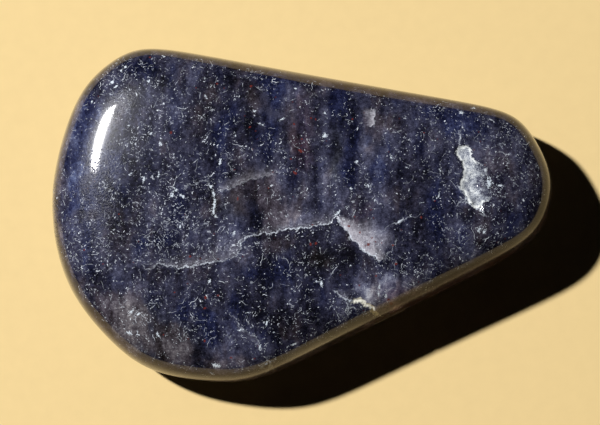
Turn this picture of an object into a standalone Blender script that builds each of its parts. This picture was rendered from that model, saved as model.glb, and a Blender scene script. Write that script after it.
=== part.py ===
"""A tumbled iolite stone: one flat, pear-shaped pebble with a bruise on its crown and a chip in its long flank.

The stone lies on its worn base with +Z up. +X points along it to its narrow end. The origin is the middle of its
bounding box on the surface that it rests on. Lengths are in metres.
"""
import math

import bmesh
import bpy
from mathutils import Vector

MM = 0.001

# Girdle: the outline seen from above, the widest part of the stone. Each worn flank faces a bearing, in degrees from
# +X towards +Y, and stands at its reach from the middle. The wear rounds their corners, less the higher it is.
CHIPPED_FLANK = (287.0, 11.9 * MM)
WORN_FLANKS = (
    (-28.0, 19.45 * MM),
    (22.5, 18.4 * MM),
    (70.0, 9.75 * MM),
    (111.0, 17.35 * MM),
    (152.0, 19.9 * MM),
    (181.5, 20.35 * MM),
    (215.5, 19.15 * MM),
    (254.5, 15.65 * MM),
    CHIPPED_FLANK,
)
FLANK_WEAR = 18.0
HALF_LENGTH = 20.1 * MM
HALF_WIDTH = 13.9 * MM

# Section: how far the crown stands above the girdle and the keel hangs below it, how steep their sides are, how far
# they fall from the middle to the shoulder and how late they do it, and how much higher the crown gets towards the
# narrow end
GIRDLE_HEIGHT = 4.0 * MM
CROWN_RISE = 5.4 * MM
CROWN_SHOULDER = 44.0 * MM
CROWN_FALL = 0.42
CROWN_FALL_POWER = 7.5
CROWN_LEAN = 0.18
KEEL_DROP = 4.2 * MM
KEEL_SHOULDER = 6.0 * MM
KEEL_FALL = 0.12
KEEL_FALL_POWER = 2.0

# Shallow swells and hollows that tumbling left: x, y, which side (1 crown, -1 keel), spread and rise
SWELLS = (
    (-10.0 * MM, 3.5 * MM, 1, 6.0 * MM, 0.14 * MM),
    (-3.0 * MM, -5.5 * MM, 1, 4.5 * MM, -0.12 * MM),
    (4.5 * MM, 3.0 * MM, 1, 4.0 * MM, 0.10 * MM),
    (12.5 * MM, -1.5 * MM, 1, 4.0 * MM, -0.09 * MM),
    (-14.5 * MM, -5.0 * MM, 1, 4.5 * MM, -0.08 * MM),
    (-13.9 * MM, 6.9 * MM, 1, 3.6 * MM, -0.21 * MM),
    (-8.0 * MM, -2.0 * MM, -1, 5.5 * MM, -0.12 * MM),
    (7.0 * MM, 5.5 * MM, -1, 4.0 * MM, -0.14 * MM),
    (11.0 * MM, -4.5 * MM, -1, 4.0 * MM, 0.08 * MM),
)

# Bruise: shallow oval bites across the crown near the narrow end, each given by x, y, half its width along X, half
# its width along Y, and depth
BRUISE_BITES = (
    (13.15 * MM, 0.75 * MM, 0.75 * MM, 0.65 * MM, 0.24 * MM),
    (13.25 * MM, -0.35 * MM, 0.50 * MM, 0.90 * MM, 0.18 * MM),
    (13.30 * MM, -1.80 * MM, 0.90 * MM, 1.40 * MM, 0.32 * MM),
    (13.60 * MM, -3.35 * MM, 0.50 * MM, 0.95 * MM, 0.20 * MM),
)

# Chip: two round bites into the chipped flank under the crown's shoulder, each given by its place along the flank,
# its height, radius and depth
CHIP_BITES = (
    (1.4 * MM, 5.4 * MM, 1.6 * MM, 0.42 * MM),
    (2.7 * MM, 4.9 * MM, 1.5 * MM, 0.36 * MM),
)

# The mesh: how many cells each side of the starting cube has, and how much closer together their rings get towards
# the girdle, where the surface turns most
CELLS_PER_SIDE = 26
RING_SPREAD = 0.5
BITE_SEGMENTS = 24
BITE_RINGS = 14
BITE_MOUTH = 0.85
BASE_BLOCK_SIZE = 60.0 * MM
SMOOTH_ANGLE = math.radians(35.0)
COLOUR = (0.035, 0.038, 0.072, 1.0)
ROUGHNESS = 0.22


def outline_reach(bearing):
    """How far the girdle stands from the middle in one direction."""
    total = 0.0
    for flank_bearing, reach in WORN_FLANKS:
        facing = math.cos(bearing - math.radians(flank_bearing))
        if facing > 0.0:
            total += (facing / reach) ** FLANK_WEAR
    return total ** (-1.0 / FLANK_WEAR)


def crown_rise(x, share, reach):
    """How far the crown stands above the girdle, at a share of the way out to it."""
    steepness = 2.0 * CROWN_SHOULDER * reach / CROWN_RISE ** 2
    rise = CROWN_RISE * math.sqrt(max(0.0, 1.0 - share ** steepness))
    return rise * (1.0 - CROWN_FALL * share ** CROWN_FALL_POWER) * (1.0 + CROWN_LEAN * x / HALF_LENGTH)


def keel_drop(share, reach):
    """How far the keel hangs below the girdle, at a share of the way out to it."""
    steepness = 2.0 * KEEL_SHOULDER * reach / KEEL_DROP ** 2
    drop = KEEL_DROP * math.sqrt(max(0.0, 1.0 - share ** steepness))
    return drop * (1.0 - KEEL_FALL * share ** KEEL_FALL_POWER)


def surface_point(direction):
    """The stone's surface where a direction from its middle meets it, before the swells."""
    bearing = math.atan2(direction.y * HALF_WIDTH, direction.x * HALF_LENGTH)
    reach = outline_reach(bearing)
    share = min(1.0, math.hypot(direction.x, direction.y))
    share *= 1.0 + RING_SPREAD * (1.0 - share)
    x = share * reach * math.cos(bearing)
    y = share * reach * math.sin(bearing)
    if direction.z >= 0.0:
        return Vector((x, y, GIRDLE_HEIGHT + crown_rise(x, share, reach)))
    return Vector((x, y, GIRDLE_HEIGHT - keel_drop(share, reach)))


def outward(point):
    """The rough outward direction at a point of the surface."""
    return Vector((
        point.x / HALF_LENGTH ** 2,
        point.y / HALF_WIDTH ** 2,
        (point.z - GIRDLE_HEIGHT) / CROWN_RISE ** 2,
    )).normalized()


def swell_at(point):
    """How far the swells and hollows raise the surface at a point."""
    raised = 0.0
    for x, y, side, spread, rise in SWELLS:
        crest = Vector((x, y, GIRDLE_HEIGHT + side * CROWN_RISE))
        raised += rise * math.exp(-((point - crest).length / spread) ** 2)
    return raised


def crown_height(x, y):
    """The height of the crown over a place inside the girdle."""
    reach = outline_reach(math.atan2(y, x))
    point = Vector((x, y, GIRDLE_HEIGHT + crown_rise(x, math.hypot(x, y) / reach, reach)))
    return point.z + swell_at(point)


def new_object(name, bm, collection):
    """A named object in a collection, from a finished bmesh."""
    mesh = bpy.data.meshes.new(name)
    bm.to_mesh(mesh)
    bm.free()
    made = bpy.data.objects.new(name, mesh)
    collection.objects.link(made)
    return made


def make_material():
    """The stone's deep blue-violet polish."""
    material = bpy.data.materials.new("iolite")
    material.use_nodes = True
    shader = material.node_tree.nodes["Principled BSDF"]
    shader.inputs["Base Color"].default_value = COLOUR
    shader.inputs["Roughness"].default_value = ROUGHNESS
    shader.inputs["Metallic"].default_value = 0.0
    return material


def make_stone(collection):
    """The worn form: a cube with an even grid of faces, drawn out onto the surface."""
    bm = bmesh.new()
    bmesh.ops.create_cube(bm, size=2.0)
    bmesh.ops.subdivide_edges(bm, edges=bm.edges[:], cuts=CELLS_PER_SIDE - 1, use_grid_fill=True)
    for vert in bm.verts:
        even = Vector([math.tan(part * math.pi / 4.0) for part in vert.co])
        point = surface_point(even.normalized())
        vert.co = point + outward(point) * swell_at(point)
    xs = [vert.co.x for vert in bm.verts]
    ys = [vert.co.y for vert in bm.verts]
    middle = Vector(((min(xs) + max(xs)) / 2.0, (min(ys) + max(ys)) / 2.0, 0.0))
    bmesh.ops.translate(bm, verts=bm.verts[:], vec=-middle)
    stone = new_object("iolite_stone", bm, collection)
    stone.data.materials.append(make_material())
    return stone


def make_bite(name, centre, radii, collection):
    """A rounded cutter: the hollow that one flake left."""
    bm = bmesh.new()
    bmesh.ops.create_uvsphere(bm, u_segments=BITE_SEGMENTS, v_segments=BITE_RINGS, radius=1.0)
    bmesh.ops.scale(bm, vec=radii, verts=bm.verts[:])
    bite = new_object(name, bm, collection)
    bite.location = centre
    return bite


def make_bruise(collection):
    """The chain of oval bites across the crown, each a bowl whose mouth has the half widths given."""
    cutters = []
    floor_share = 1.0 - math.sqrt(1.0 - BITE_MOUTH ** 2)
    for number, (x, y, half_x, half_y, depth) in enumerate(BRUISE_BITES):
        radii = (half_x / BITE_MOUTH, half_y / BITE_MOUTH, depth / floor_share)
        centre = (x, y, crown_height(x, y) + radii[2] - depth)
        cutters.append(make_bite(f"bruise_bite_{number}", centre, radii, collection))
    return cutters


def make_chip(collection):
    """The bites into the chipped flank."""
    bearing = math.radians(CHIPPED_FLANK[0])
    facing = Vector((math.cos(bearing), math.sin(bearing), 0.0))
    along = Vector((-math.sin(bearing), math.cos(bearing), 0.0))
    cutters = []
    for number, (place, height, radius, depth) in enumerate(CHIP_BITES):
        centre = facing * (CHIPPED_FLANK[1] + radius - depth) + along * place
        centre.z = height
        cutters.append(make_bite(f"chip_bite_{number}", centre, (radius, radius, radius), collection))
    return cutters


def make_base_block(collection):
    """The block that wears the underside flat at the surface that the stone rests on."""
    bm = bmesh.new()
    bmesh.ops.create_cube(bm, size=BASE_BLOCK_SIZE)
    block = new_object("base_block", bm, collection)
    block.location = (0.0, 0.0, -BASE_BLOCK_SIZE / 2.0)
    return block


def cut(stone, cutters):
    """Take each cutter out of the stone."""
    for cutter in cutters:
        cutter.hide_render = True
        cutter.display_type = 'WIRE'
        modifier = stone.modifiers.new(cutter.name, 'BOOLEAN')
        modifier.operation = 'DIFFERENCE'
        modifier.solver = 'EXACT'
        modifier.object = cutter


def main():
    """Clear the scene and build the stone."""
    for old in list(bpy.data.objects):
        bpy.data.objects.remove(old, do_unlink=True)
    stone_collection = bpy.data.collections.new("tumbled_iolite_stone")
    cutter_collection = bpy.data.collections.new("cutters")
    bpy.context.scene.collection.children.link(stone_collection)
    bpy.context.scene.collection.children.link(cutter_collection)
    stone = make_stone(stone_collection)
    cut(stone, make_bruise(cutter_collection) + make_chip(cutter_collection) + [make_base_block(cutter_collection)])
    stone.data.shade_smooth()
    stone.data.set_sharp_from_angle(angle=SMOOTH_ANGLE)


main()
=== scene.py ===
"""The looks of the tumbled iolite stone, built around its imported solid.

The stone is one flat, pear-shaped pebble of dark blue-violet iolite with a tumbled polish. Its form follows the same
rule as its solid, on a finer mesh: worn flanks round the outline, a steep shoulder and a flat crown. Fractures, veils,
flecks, a bruise and a chip are placed on it through the camera that it is seen by, so each has its place in the
picture, and the fractures go on down its sides and across its underside.
"""

import logging
import math
import random
from dataclasses import dataclass
from enum import Enum

import bmesh
import bpy
import numpy as np
from mathutils import Matrix, Vector, noise


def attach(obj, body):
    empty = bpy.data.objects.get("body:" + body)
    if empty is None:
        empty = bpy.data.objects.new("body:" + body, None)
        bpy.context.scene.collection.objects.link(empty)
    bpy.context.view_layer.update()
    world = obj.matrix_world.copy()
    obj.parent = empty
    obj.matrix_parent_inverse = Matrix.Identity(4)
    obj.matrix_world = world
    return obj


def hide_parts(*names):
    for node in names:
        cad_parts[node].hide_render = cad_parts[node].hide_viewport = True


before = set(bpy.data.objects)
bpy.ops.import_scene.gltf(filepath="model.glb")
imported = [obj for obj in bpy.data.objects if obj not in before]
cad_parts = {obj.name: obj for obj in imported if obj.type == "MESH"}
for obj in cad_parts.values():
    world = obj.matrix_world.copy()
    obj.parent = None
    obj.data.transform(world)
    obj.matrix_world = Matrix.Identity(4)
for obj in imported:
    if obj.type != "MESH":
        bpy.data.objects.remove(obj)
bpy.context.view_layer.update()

MM = 0.001
LOG = logging.getLogger("iolite_stone")

# How far from a trace, in pixels, a place still belongs to it
FAR = 60.0
# The attribute that holds the way the surface faces, for the finish to read
FACING = "facing"
# A place further out than any of the stone, in metres, for an axis without a limit
UNLIMITED = -1.0

Pixel = tuple[float, float]
Colour = tuple[float, float, float, float]


def screen_colour(red: float, green: float, blue: float) -> Colour:
    """A linear colour from the 0 to 255 values that a screen would show.

    Args:
        red: Red on the screen.
        green: Green on the screen.
        blue: Blue on the screen.

    Returns:
        The linear colour, opaque.
    """
    parts = []
    for part in (red, green, blue):
        share = part / 255.0
        parts.append(share / 12.92 if share <= 0.04045 else ((share + 0.055) / 1.055) ** 2.4)
    return (parts[0], parts[1], parts[2], 1.0)


@dataclass(frozen=True)
class Wire:
    """One socket's value, so that the maths of a node tree reads as plain expressions."""

    sheet: "NodeSheet"
    socket: bpy.types.NodeSocket

    def math(self, operation: str, *others: "Wire | float") -> "Wire":
        """A Math node on this value and others."""
        return self.sheet.node("ShaderNodeMath", {"operation": operation}, dict(enumerate((self, *others))))

    def after(self, operation: str, first: "Wire | float") -> "Wire":
        """A Math node with another value before this one."""
        return self.sheet.node("ShaderNodeMath", {"operation": operation}, {0: first, 1: self})

    def __add__(self, other: "Wire | float") -> "Wire":
        """This value plus another."""
        return self.math("ADD", other)

    def __radd__(self, other: float) -> "Wire":
        """A number plus this value."""
        return self.math("ADD", other)

    def __sub__(self, other: "Wire | float") -> "Wire":
        """This value less another."""
        return self.math("SUBTRACT", other)

    def __rsub__(self, other: float) -> "Wire":
        """A number less this value."""
        return self.after("SUBTRACT", other)

    def __mul__(self, other: "Wire | float") -> "Wire":
        """This value times another."""
        return self.math("MULTIPLY", other)

    def __rmul__(self, other: float) -> "Wire":
        """A number times this value."""
        return self.math("MULTIPLY", other)

    def __truediv__(self, other: "Wire | float") -> "Wire":
        """This value over another."""
        return self.math("DIVIDE", other)

    def __rtruediv__(self, other: float) -> "Wire":
        """A number over this value."""
        return self.after("DIVIDE", other)

    def __pow__(self, other: "Wire | float") -> "Wire":
        """This value to a power."""
        return self.math("POWER", other)

    def __neg__(self) -> "Wire":
        """This value with its sign turned."""
        return self.math("MULTIPLY", -1.0)

    def least(self, other: "Wire | float") -> "Wire":
        """The smaller of this value and another."""
        return self.math("MINIMUM", other)

    def most(self, other: "Wire | float") -> "Wire":
        """The larger of this value and another."""
        return self.math("MAXIMUM", other)

    def step(self, low: float, high: float) -> "Wire":
        """A smooth step from 0 at one value to 1 at another, which may be the smaller one."""
        settings = {"interpolation_type": "SMOOTHSTEP"}
        return self.sheet.node("ShaderNodeMapRange", settings, {"Value": self, "From Min": low, "From Max": high})

    def output(self, name: str) -> "Wire":
        """Another output of the node that this value comes from."""
        return Wire(self.sheet, self.socket.node.outputs[name])


class NodeSheet:
    """A node tree that is written from left to right, one node at a time."""

    def __init__(self, tree: bpy.types.NodeTree) -> None:
        """Start on a tree whose default nodes are cleared."""
        self.tree = tree
        tree.nodes.clear()

    def node(self, kind: str, settings: dict | None = None, inputs: dict | None = None, output: int = 0) -> Wire:
        """Add one node.

        Args:
            kind: The node's type.
            settings: Its own settings, which are set first; stops are a colour ramp's places and colours.
            inputs: Values or wires for its sockets, by name or number.
            output: Which output to give back.

        Returns:
            The wire from that output, or one without a socket if the node has none.
        """
        made = self.tree.nodes.new(kind)
        for name, value in (settings or {}).items():
            if name == "stops":
                self._set_stops(made.color_ramp, value)
            else:
                setattr(made, name, value)
        for key, value in (inputs or {}).items():
            if isinstance(value, Wire):
                self.tree.links.new(value.socket, made.inputs[key])
            else:
                made.inputs[key].default_value = value
        return Wire(self, made.outputs[output] if len(made.outputs) else None)

    @staticmethod
    def _set_stops(ramp: bpy.types.ColorRamp, stops: list[tuple[float, Colour]]) -> None:
        """Give a colour ramp its stops.

        Args:
            ramp: The colour ramp.
            stops: The places and colours.
        """
        while len(ramp.elements) < len(stops):
            ramp.elements.new(1.0)
        for element, (place, colour) in zip(ramp.elements, stops):
            element.position = place
            element.color = colour

    def vector(self, operation: str, first: "Wire | tuple", second: "Wire | tuple | float", output: int = 0) -> Wire:
        """A Vector Math node on two vectors, or a vector and its scale."""
        second_socket = "Scale" if operation == "SCALE" else 1
        return self.node("ShaderNodeVectorMath", {"operation": operation}, {0: first, second_socket: second}, output)

    def mix(self, share: "Wire | float", first: "Wire | Colour", second: "Wire | Colour", way: str = "MIX") -> Wire:
        """A colour Mix node from one colour to another."""
        settings = {"data_type": "RGBA", "blend_type": way, "clamp_factor": True}
        return self.node("ShaderNodeMix", settings, {0: share, 6: first, 7: second}, 2)

    def combine(self, x: "Wire | float", y: "Wire | float", z: "Wire | float") -> Wire:
        """A vector from its three parts."""
        return self.node("ShaderNodeCombineXYZ", {}, {0: x, 1: y, 2: z})


@dataclass(frozen=True)
class Swell:
    """A shallow swell or hollow that tumbling left, in millimetres."""

    x: float
    y: float
    side: int
    spread: float
    rise: float


@dataclass(frozen=True)
class StoneForm:
    """The stone's worn form, in millimetres and degrees, as its solid has it.

    Each flank is a bearing, from +X towards +Y, and how far it stands from the middle.
    """

    flanks: tuple[tuple[float, float], ...] = (
        (-28.0, 19.45), (22.5, 18.4), (70.0, 9.75), (111.0, 17.35), (152.0, 19.9),
        (181.5, 20.35), (215.5, 19.15), (254.5, 15.65), (287.0, 11.9),
    )
    flank_wear: float = 18.0
    half_length: float = 20.1
    half_width: float = 13.9
    girdle_height: float = 4.0
    crown_rise: float = 5.4
    crown_shoulder: float = 44.0
    crown_fall: float = 0.42
    crown_fall_power: float = 7.5
    crown_lean: float = 0.18
    keel_drop: float = 4.2
    keel_shoulder: float = 6.0
    keel_fall: float = 0.12
    keel_fall_power: float = 2.0
    ring_spread: float = 0.5
    swells: tuple[Swell, ...] = (
        Swell(-10.0, 3.5, 1, 6.0, 0.14),
        Swell(-3.0, -5.5, 1, 4.5, -0.12),
        Swell(4.5, 3.0, 1, 4.0, 0.10),
        Swell(12.5, -1.5, 1, 4.0, -0.09),
        Swell(-14.5, -5.0, 1, 4.5, -0.08),
        Swell(-13.9, 6.9, 1, 3.6, -0.21),
        Swell(-8.0, -2.0, -1, 5.5, -0.12),
        Swell(7.0, 5.5, -1, 4.0, -0.14),
        Swell(11.0, -4.5, -1, 4.0, 0.08),
    )
    cells: tuple[int, int, int] = (92, 64, 44)

    def make_cage(self) -> bpy.types.Mesh:
        """The cube of even cells that is drawn out into the stone.

        Returns:
            A closed cube of side 2, made by a node tree of its own.
        """
        tree = bpy.data.node_groups.new("stone_cage", "GeometryNodeTree")
        tree.interface.new_socket("Geometry", in_out="OUTPUT", socket_type="NodeSocketGeometry")
        sheet = NodeSheet(tree)
        counts = {f"Vertices {axis}": count + 1 for axis, count in zip("XYZ", self.cells)}
        cube = sheet.node("GeometryNodeMeshCube", {}, {"Size": (2.0, 2.0, 2.0), **counts})
        whole = sheet.node("GeometryNodeRealizeInstances", {}, {0: cube})
        sheet.node("NodeGroupOutput", {}, {0: whole})
        return evaluate(bpy.data.meshes.new("cage"), tree, {})

    def make_tree(self, material: bpy.types.Material) -> bpy.types.NodeTree:
        """The node tree that draws the cage out onto the worn surface.

        Args:
            material: The finish that the surface gets.

        Returns:
            The tree, with a named input for each driving size.
        """
        tree = bpy.data.node_groups.new("stone_form", "GeometryNodeTree")
        tree.interface.new_socket("Geometry", in_out="INPUT", socket_type="NodeSocketGeometry")
        for name in self.sizes():
            tree.interface.new_socket(name, in_out="INPUT", socket_type="NodeSocketFloat")
        tree.interface.new_socket("Geometry", in_out="OUTPUT", socket_type="NodeSocketGeometry")
        sheet = NodeSheet(tree)
        cage = sheet.node("NodeGroupInput")
        size = {name: cage.output(name) for name in self.sizes()}
        surface = self._swollen(sheet, self._surface(sheet, size), size)
        flat = sheet.vector("MAXIMUM", surface, (UNLIMITED, UNLIMITED, 0.0))
        placed = sheet.node("GeometryNodeSetPosition", {}, {"Geometry": cage, "Position": flat})
        smooth = sheet.node("GeometryNodeSetShadeSmooth", {}, {0: placed})
        whole = sheet.node("GeometryNodeRealizeInstances", {}, {0: smooth})
        dressed = sheet.node("GeometryNodeSetMaterial", {}, {"Geometry": whole, "Material": material})
        sheet.node("NodeGroupOutput", {}, {0: dressed})
        return tree

    def sizes(self) -> dict[str, float]:
        """The tree's named inputs.

        Returns:
            Their values by name, in metres where they are lengths.
        """
        sizes = {
            "Flank Wear": self.flank_wear,
            "Half Length": self.half_length * MM,
            "Half Width": self.half_width * MM,
            "Girdle Height": self.girdle_height * MM,
            "Crown Rise": self.crown_rise * MM,
            "Crown Shoulder": self.crown_shoulder * MM,
            "Crown Fall": self.crown_fall,
            "Crown Fall Power": self.crown_fall_power,
            "Crown Lean": self.crown_lean,
            "Keel Drop": self.keel_drop * MM,
            "Keel Shoulder": self.keel_shoulder * MM,
            "Keel Fall": self.keel_fall,
            "Keel Fall Power": self.keel_fall_power,
            "Ring Spread": self.ring_spread,
        }
        for number, (_, reach) in enumerate(self.flanks):
            sizes[f"Flank {number + 1} Reach"] = reach * MM
        return sizes

    def _surface(self, sheet: NodeSheet, size: dict[str, Wire]) -> Wire:
        """The surface where a direction from the middle meets it.

        Args:
            sheet: The tree in the making.
            size: The tree's named inputs.

        Returns:
            The point, as a vector.
        """
        corner = sheet.node("ShaderNodeSeparateXYZ", {}, {0: sheet.node("GeometryNodeInputPosition")})
        even = [(corner.output(axis) * (math.pi / 4.0)).math("TANGENT") for axis in "XYZ"]
        direction = sheet.node(
            "ShaderNodeSeparateXYZ", {}, {0: sheet.vector("NORMALIZE", sheet.combine(*even), (0.0, 0.0, 0.0))}
        )
        across, along, up = (direction.output(axis) for axis in "XYZ")
        bearing = (along * size["Half Width"]).math("ARCTAN2", across * size["Half Length"])
        worn = None
        for number, (flank_bearing, _) in enumerate(self.flanks):
            facing = (bearing - math.radians(flank_bearing)).math("COSINE").most(0.0)
            leaning = (facing * size["Half Length"] / size[f"Flank {number + 1} Reach"]) ** size["Flank Wear"]
            worn = leaning if worn is None else worn + leaning
        reach = size["Half Length"] * worn ** (-1.0 / size["Flank Wear"])
        share = (across * across + along * along).math("SQRT").least(1.0)
        share = share * (1.0 + size["Ring Spread"] * (1.0 - share))
        x = share * reach * bearing.math("COSINE")
        y = share * reach * bearing.math("SINE")
        lean = 1.0 + size["Crown Lean"] * x / size["Half Length"]
        crown = self._section(share, reach, size, "Crown Rise", "Crown Shoulder", "Crown Fall") * lean
        keel = self._section(share, reach, size, "Keel Drop", "Keel Shoulder", "Keel Fall")
        is_crown = up.math("GREATER_THAN", 0.0)
        z = size["Girdle Height"] + is_crown * (crown + keel) - keel
        return sheet.combine(x, y, z)

    @staticmethod
    def _section(share: Wire, reach: Wire, size: dict[str, Wire], rise: str, shoulder: str, fall: str) -> Wire:
        """How far the surface stands off the girdle's plane.

        Args:
            share: How far out the point is, from 0 at the middle to 1 at the girdle.
            reach: The girdle's distance from the middle there.
            size: The tree's named inputs.
            rise: The name of the input for the height at the middle.
            shoulder: The name of the input for the radius where the section meets the girdle.
            fall: The name of the input for how far it falls towards the shoulder.

        Returns:
            The height, in metres.
        """
        steepness = 2.0 * size[shoulder] * reach / (size[rise] * size[rise])
        height = size[rise] * (1.0 - share ** steepness).most(0.0).math("SQRT")
        return height * (1.0 - size[fall] * share ** size[f"{fall} Power"])

    def _swollen(self, sheet: NodeSheet, surface: Wire, size: dict[str, Wire]) -> Wire:
        """Raise the surface by its swells and hollows.

        Args:
            sheet: The tree in the making.
            surface: The surface point.
            size: The tree's named inputs.

        Returns:
            The raised point.
        """
        point = sheet.node("ShaderNodeSeparateXYZ", {}, {0: surface})
        outward = sheet.combine(
            point.output("X") / (size["Half Length"] * size["Half Length"]),
            point.output("Y") / (size["Half Width"] * size["Half Width"]),
            (point.output("Z") - size["Girdle Height"]) / (size["Crown Rise"] * size["Crown Rise"]),
        )
        outward = sheet.vector("NORMALIZE", outward, (0.0, 0.0, 0.0))
        raised = None
        for swell in self.swells:
            crest = (swell.x * MM, swell.y * MM, (self.girdle_height + swell.side * self.crown_rise) * MM)
            away = sheet.vector("DISTANCE", surface, crest, 1) / (swell.spread * MM)
            rise = (-(away * away)).math("EXPONENT") * (swell.rise * MM)
            raised = rise if raised is None else raised + rise
        return sheet.vector("ADD", surface, sheet.vector("SCALE", outward, raised))

    def crown_height(self, x: float, y: float) -> float:
        """The height of the crown over a place inside the girdle, before bites.

        Args:
            x: The place along the stone, in millimetres.
            y: The place across it.

        Returns:
            The height above the base, in millimetres.
        """
        bearing = math.atan2(y, x)
        worn = 0.0
        for flank_bearing, flank_reach in self.flanks:
            worn += max(0.0, math.cos(bearing - math.radians(flank_bearing)) / flank_reach) ** self.flank_wear
        reach = worn ** (-1.0 / self.flank_wear)
        share = math.hypot(x, y) / reach
        steepness = 2.0 * self.crown_shoulder * reach / self.crown_rise ** 2
        rise = self.crown_rise * math.sqrt(1.0 - share ** steepness)
        rise *= 1.0 - self.crown_fall * share ** self.crown_fall_power
        height = self.girdle_height + rise * (1.0 + self.crown_lean * x / self.half_length)
        for swell in self.swells:
            crest = Vector((swell.x, swell.y, self.girdle_height + swell.side * self.crown_rise))
            away = (Vector((x, y, height)) - crest).length / swell.spread
            height += swell.rise * math.exp(-away * away)
        return height


def evaluate(mesh: bpy.types.Mesh, tree: bpy.types.NodeTree, values: dict[str, float]) -> bpy.types.Mesh:
    """Run a geometry node tree on a mesh and keep the plain result.

    Args:
        mesh: The mesh that the tree starts from.
        tree: The tree.
        values: Its inputs' values by name.

    Returns:
        A new mesh without modifiers.
    """
    holder = bpy.data.objects.new("form_holder", mesh)
    bpy.context.scene.collection.objects.link(holder)
    modifier = holder.modifiers.new("form", "NODES")
    modifier.node_group = tree
    for item in tree.interface.items_tree:
        if item.in_out == "INPUT" and item.name in values:
            modifier[item.identifier] = values[item.name]
    graph = bpy.context.evaluated_depsgraph_get()
    made = bpy.data.meshes.new_from_object(holder.evaluated_get(graph))
    bpy.data.objects.remove(holder)
    return made


def mesh_points(mesh: bpy.types.Mesh) -> np.ndarray:
    """A mesh's vertices in millimetres.

    Args:
        mesh: The mesh.

    Returns:
        One row for each vertex.
    """
    flat = np.empty(len(mesh.vertices) * 3, np.float32)
    mesh.vertices.foreach_get("co", flat)
    return flat.reshape(-1, 3).astype(float) / MM


def mesh_normals(mesh: bpy.types.Mesh) -> np.ndarray:
    """A mesh's vertex normals.

    Args:
        mesh: The mesh.

    Returns:
        One row for each vertex.
    """
    flat = np.empty(len(mesh.vertices) * 3, np.float32)
    mesh.vertex_normals.foreach_get("vector", flat)
    return flat.reshape(-1, 3).astype(float)


@dataclass(frozen=True)
class PhotoView:
    """The camera over the stone, in millimetres, degrees and pixels of a 600 by 425 picture."""

    width_px: float = 600.0
    height_px: float = 425.0
    elevation: float = 84.0
    roll: float = 9.5
    distance: float = 260.0
    pixels_per_mm: float = 12.4
    girdle_middle: tuple[float, float, float] = (0.0, 0.0, 4.2)
    girdle_px: Pixel = (301.0, 197.0)
    sensor_width: float = 36.0

    def axes(self) -> tuple[Vector, Vector, Vector]:
        """The directions of the picture.

        Returns:
            Its right and its up, and the way back to the camera.
        """
        turn = math.radians(self.roll)
        tilt = math.radians(self.elevation)
        right = Vector((math.cos(turn), -math.sin(turn), 0.0))
        back = -Vector((math.sin(turn), math.cos(turn), 0.0)) * math.cos(tilt) + Vector((0.0, 0.0, math.sin(tilt)))
        return right, back.cross(right), back

    def position(self) -> Vector:
        """Where the camera stands.

        Returns:
            The place in millimetres.
        """
        right, up, back = self.axes()
        aim_right = (self.width_px / 2.0 - self.girdle_px[0]) / self.pixels_per_mm
        aim_down = (self.height_px / 2.0 - self.girdle_px[1]) / self.pixels_per_mm
        return Vector(self.girdle_middle) + right * aim_right - up * aim_down + back * self.distance

    def to_pixels(self, points: np.ndarray) -> np.ndarray:
        """Where points of the stone are in the picture.

        Args:
            points: Rows of millimetres.

        Returns:
            Rows of pixels, from the picture's upper left corner.
        """
        right, up, back = (np.array(axis) for axis in self.axes())
        seen = points - np.array(self.position())
        focal_px = self.pixels_per_mm * self.distance
        depth = -(seen @ back)
        across = self.width_px / 2.0 + seen @ right / depth * focal_px
        down = self.height_px / 2.0 - seen @ up / depth * focal_px
        return np.stack((across, down), axis=1)

    def make_camera(self) -> bpy.types.Object:
        """The camera, as the scene's own.

        Returns:
            The camera object.
        """
        right, up, back = self.axes()
        lens = bpy.data.cameras.new("portrait_camera")
        lens.sensor_fit = "HORIZONTAL"
        lens.sensor_width = self.sensor_width
        lens.lens = self.sensor_width * self.pixels_per_mm * self.distance / self.width_px
        lens.clip_start = 0.01
        camera = bpy.data.objects.new("portrait_camera", lens)
        turn = Matrix((right, up, back)).transposed().to_4x4()
        camera.matrix_world = Matrix.Translation(self.position() * MM) @ turn
        bpy.context.scene.collection.objects.link(camera)
        bpy.context.scene.camera = camera
        return camera


class Face(Enum):
    """Which side of the stone a mark is on."""

    CROWN = "crown"
    KEEL = "keel"
    THROUGH = "through"


class Field(Enum):
    """What is painted on the mesh for the finish to read, by attribute name."""

    LIFT = "lift"
    WARMTH = "warmth"
    ROSE = "rose"
    OLIVE = "olive"
    FLECKS = "flecks"
    RUST = "rust"
    VEIL = "veil"
    OFFSET = "line_offset"
    LINE = "line"
    CREAM = "cream"
    WHITE_BIT = "white_bit"
    RED_BIT = "red_bit"
    BRUISE = "bruise"
    CHALK = "chalk"
    CHIP = "chip"
    SCUFF = "scuff"
    DULL = "dull"
    # Wear on the flanks, which also carries a painted rim reflection through its brown tint
    WEAR = "wear"


@dataclass(frozen=True)
class ToneMix:
    """How a tone changes the body colour: lighter, warmer, rosier or greener, each from -1 to 1."""

    lift: float = 0.0
    warmth: float = 0.0
    rose: float = 0.0
    olive: float = 0.0


class Tone(Enum):
    """The tones of the stone's soft patches."""

    NAVY = ToneMix(lift=-0.16, warmth=-0.9)
    BLUE = ToneMix(lift=0.02, warmth=-0.7)
    BLACK = ToneMix(lift=-0.26, warmth=0.35)
    SMOKE = ToneMix(lift=-0.05, warmth=0.75)
    HAZE = ToneMix(lift=0.12, warmth=-0.2)
    PALE = ToneMix(lift=0.24, warmth=0.1)
    ROSE = ToneMix(lift=0.07, warmth=0.35, rose=0.9)
    OLIVE = ToneMix(lift=0.0, warmth=0.3, olive=0.9)
    TAN = ToneMix(lift=0.16, warmth=1.0)
    DEEP = ToneMix(lift=-0.12, warmth=-0.2)
    GLOW = ToneMix(lift=0.16, warmth=-1.2)


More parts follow.
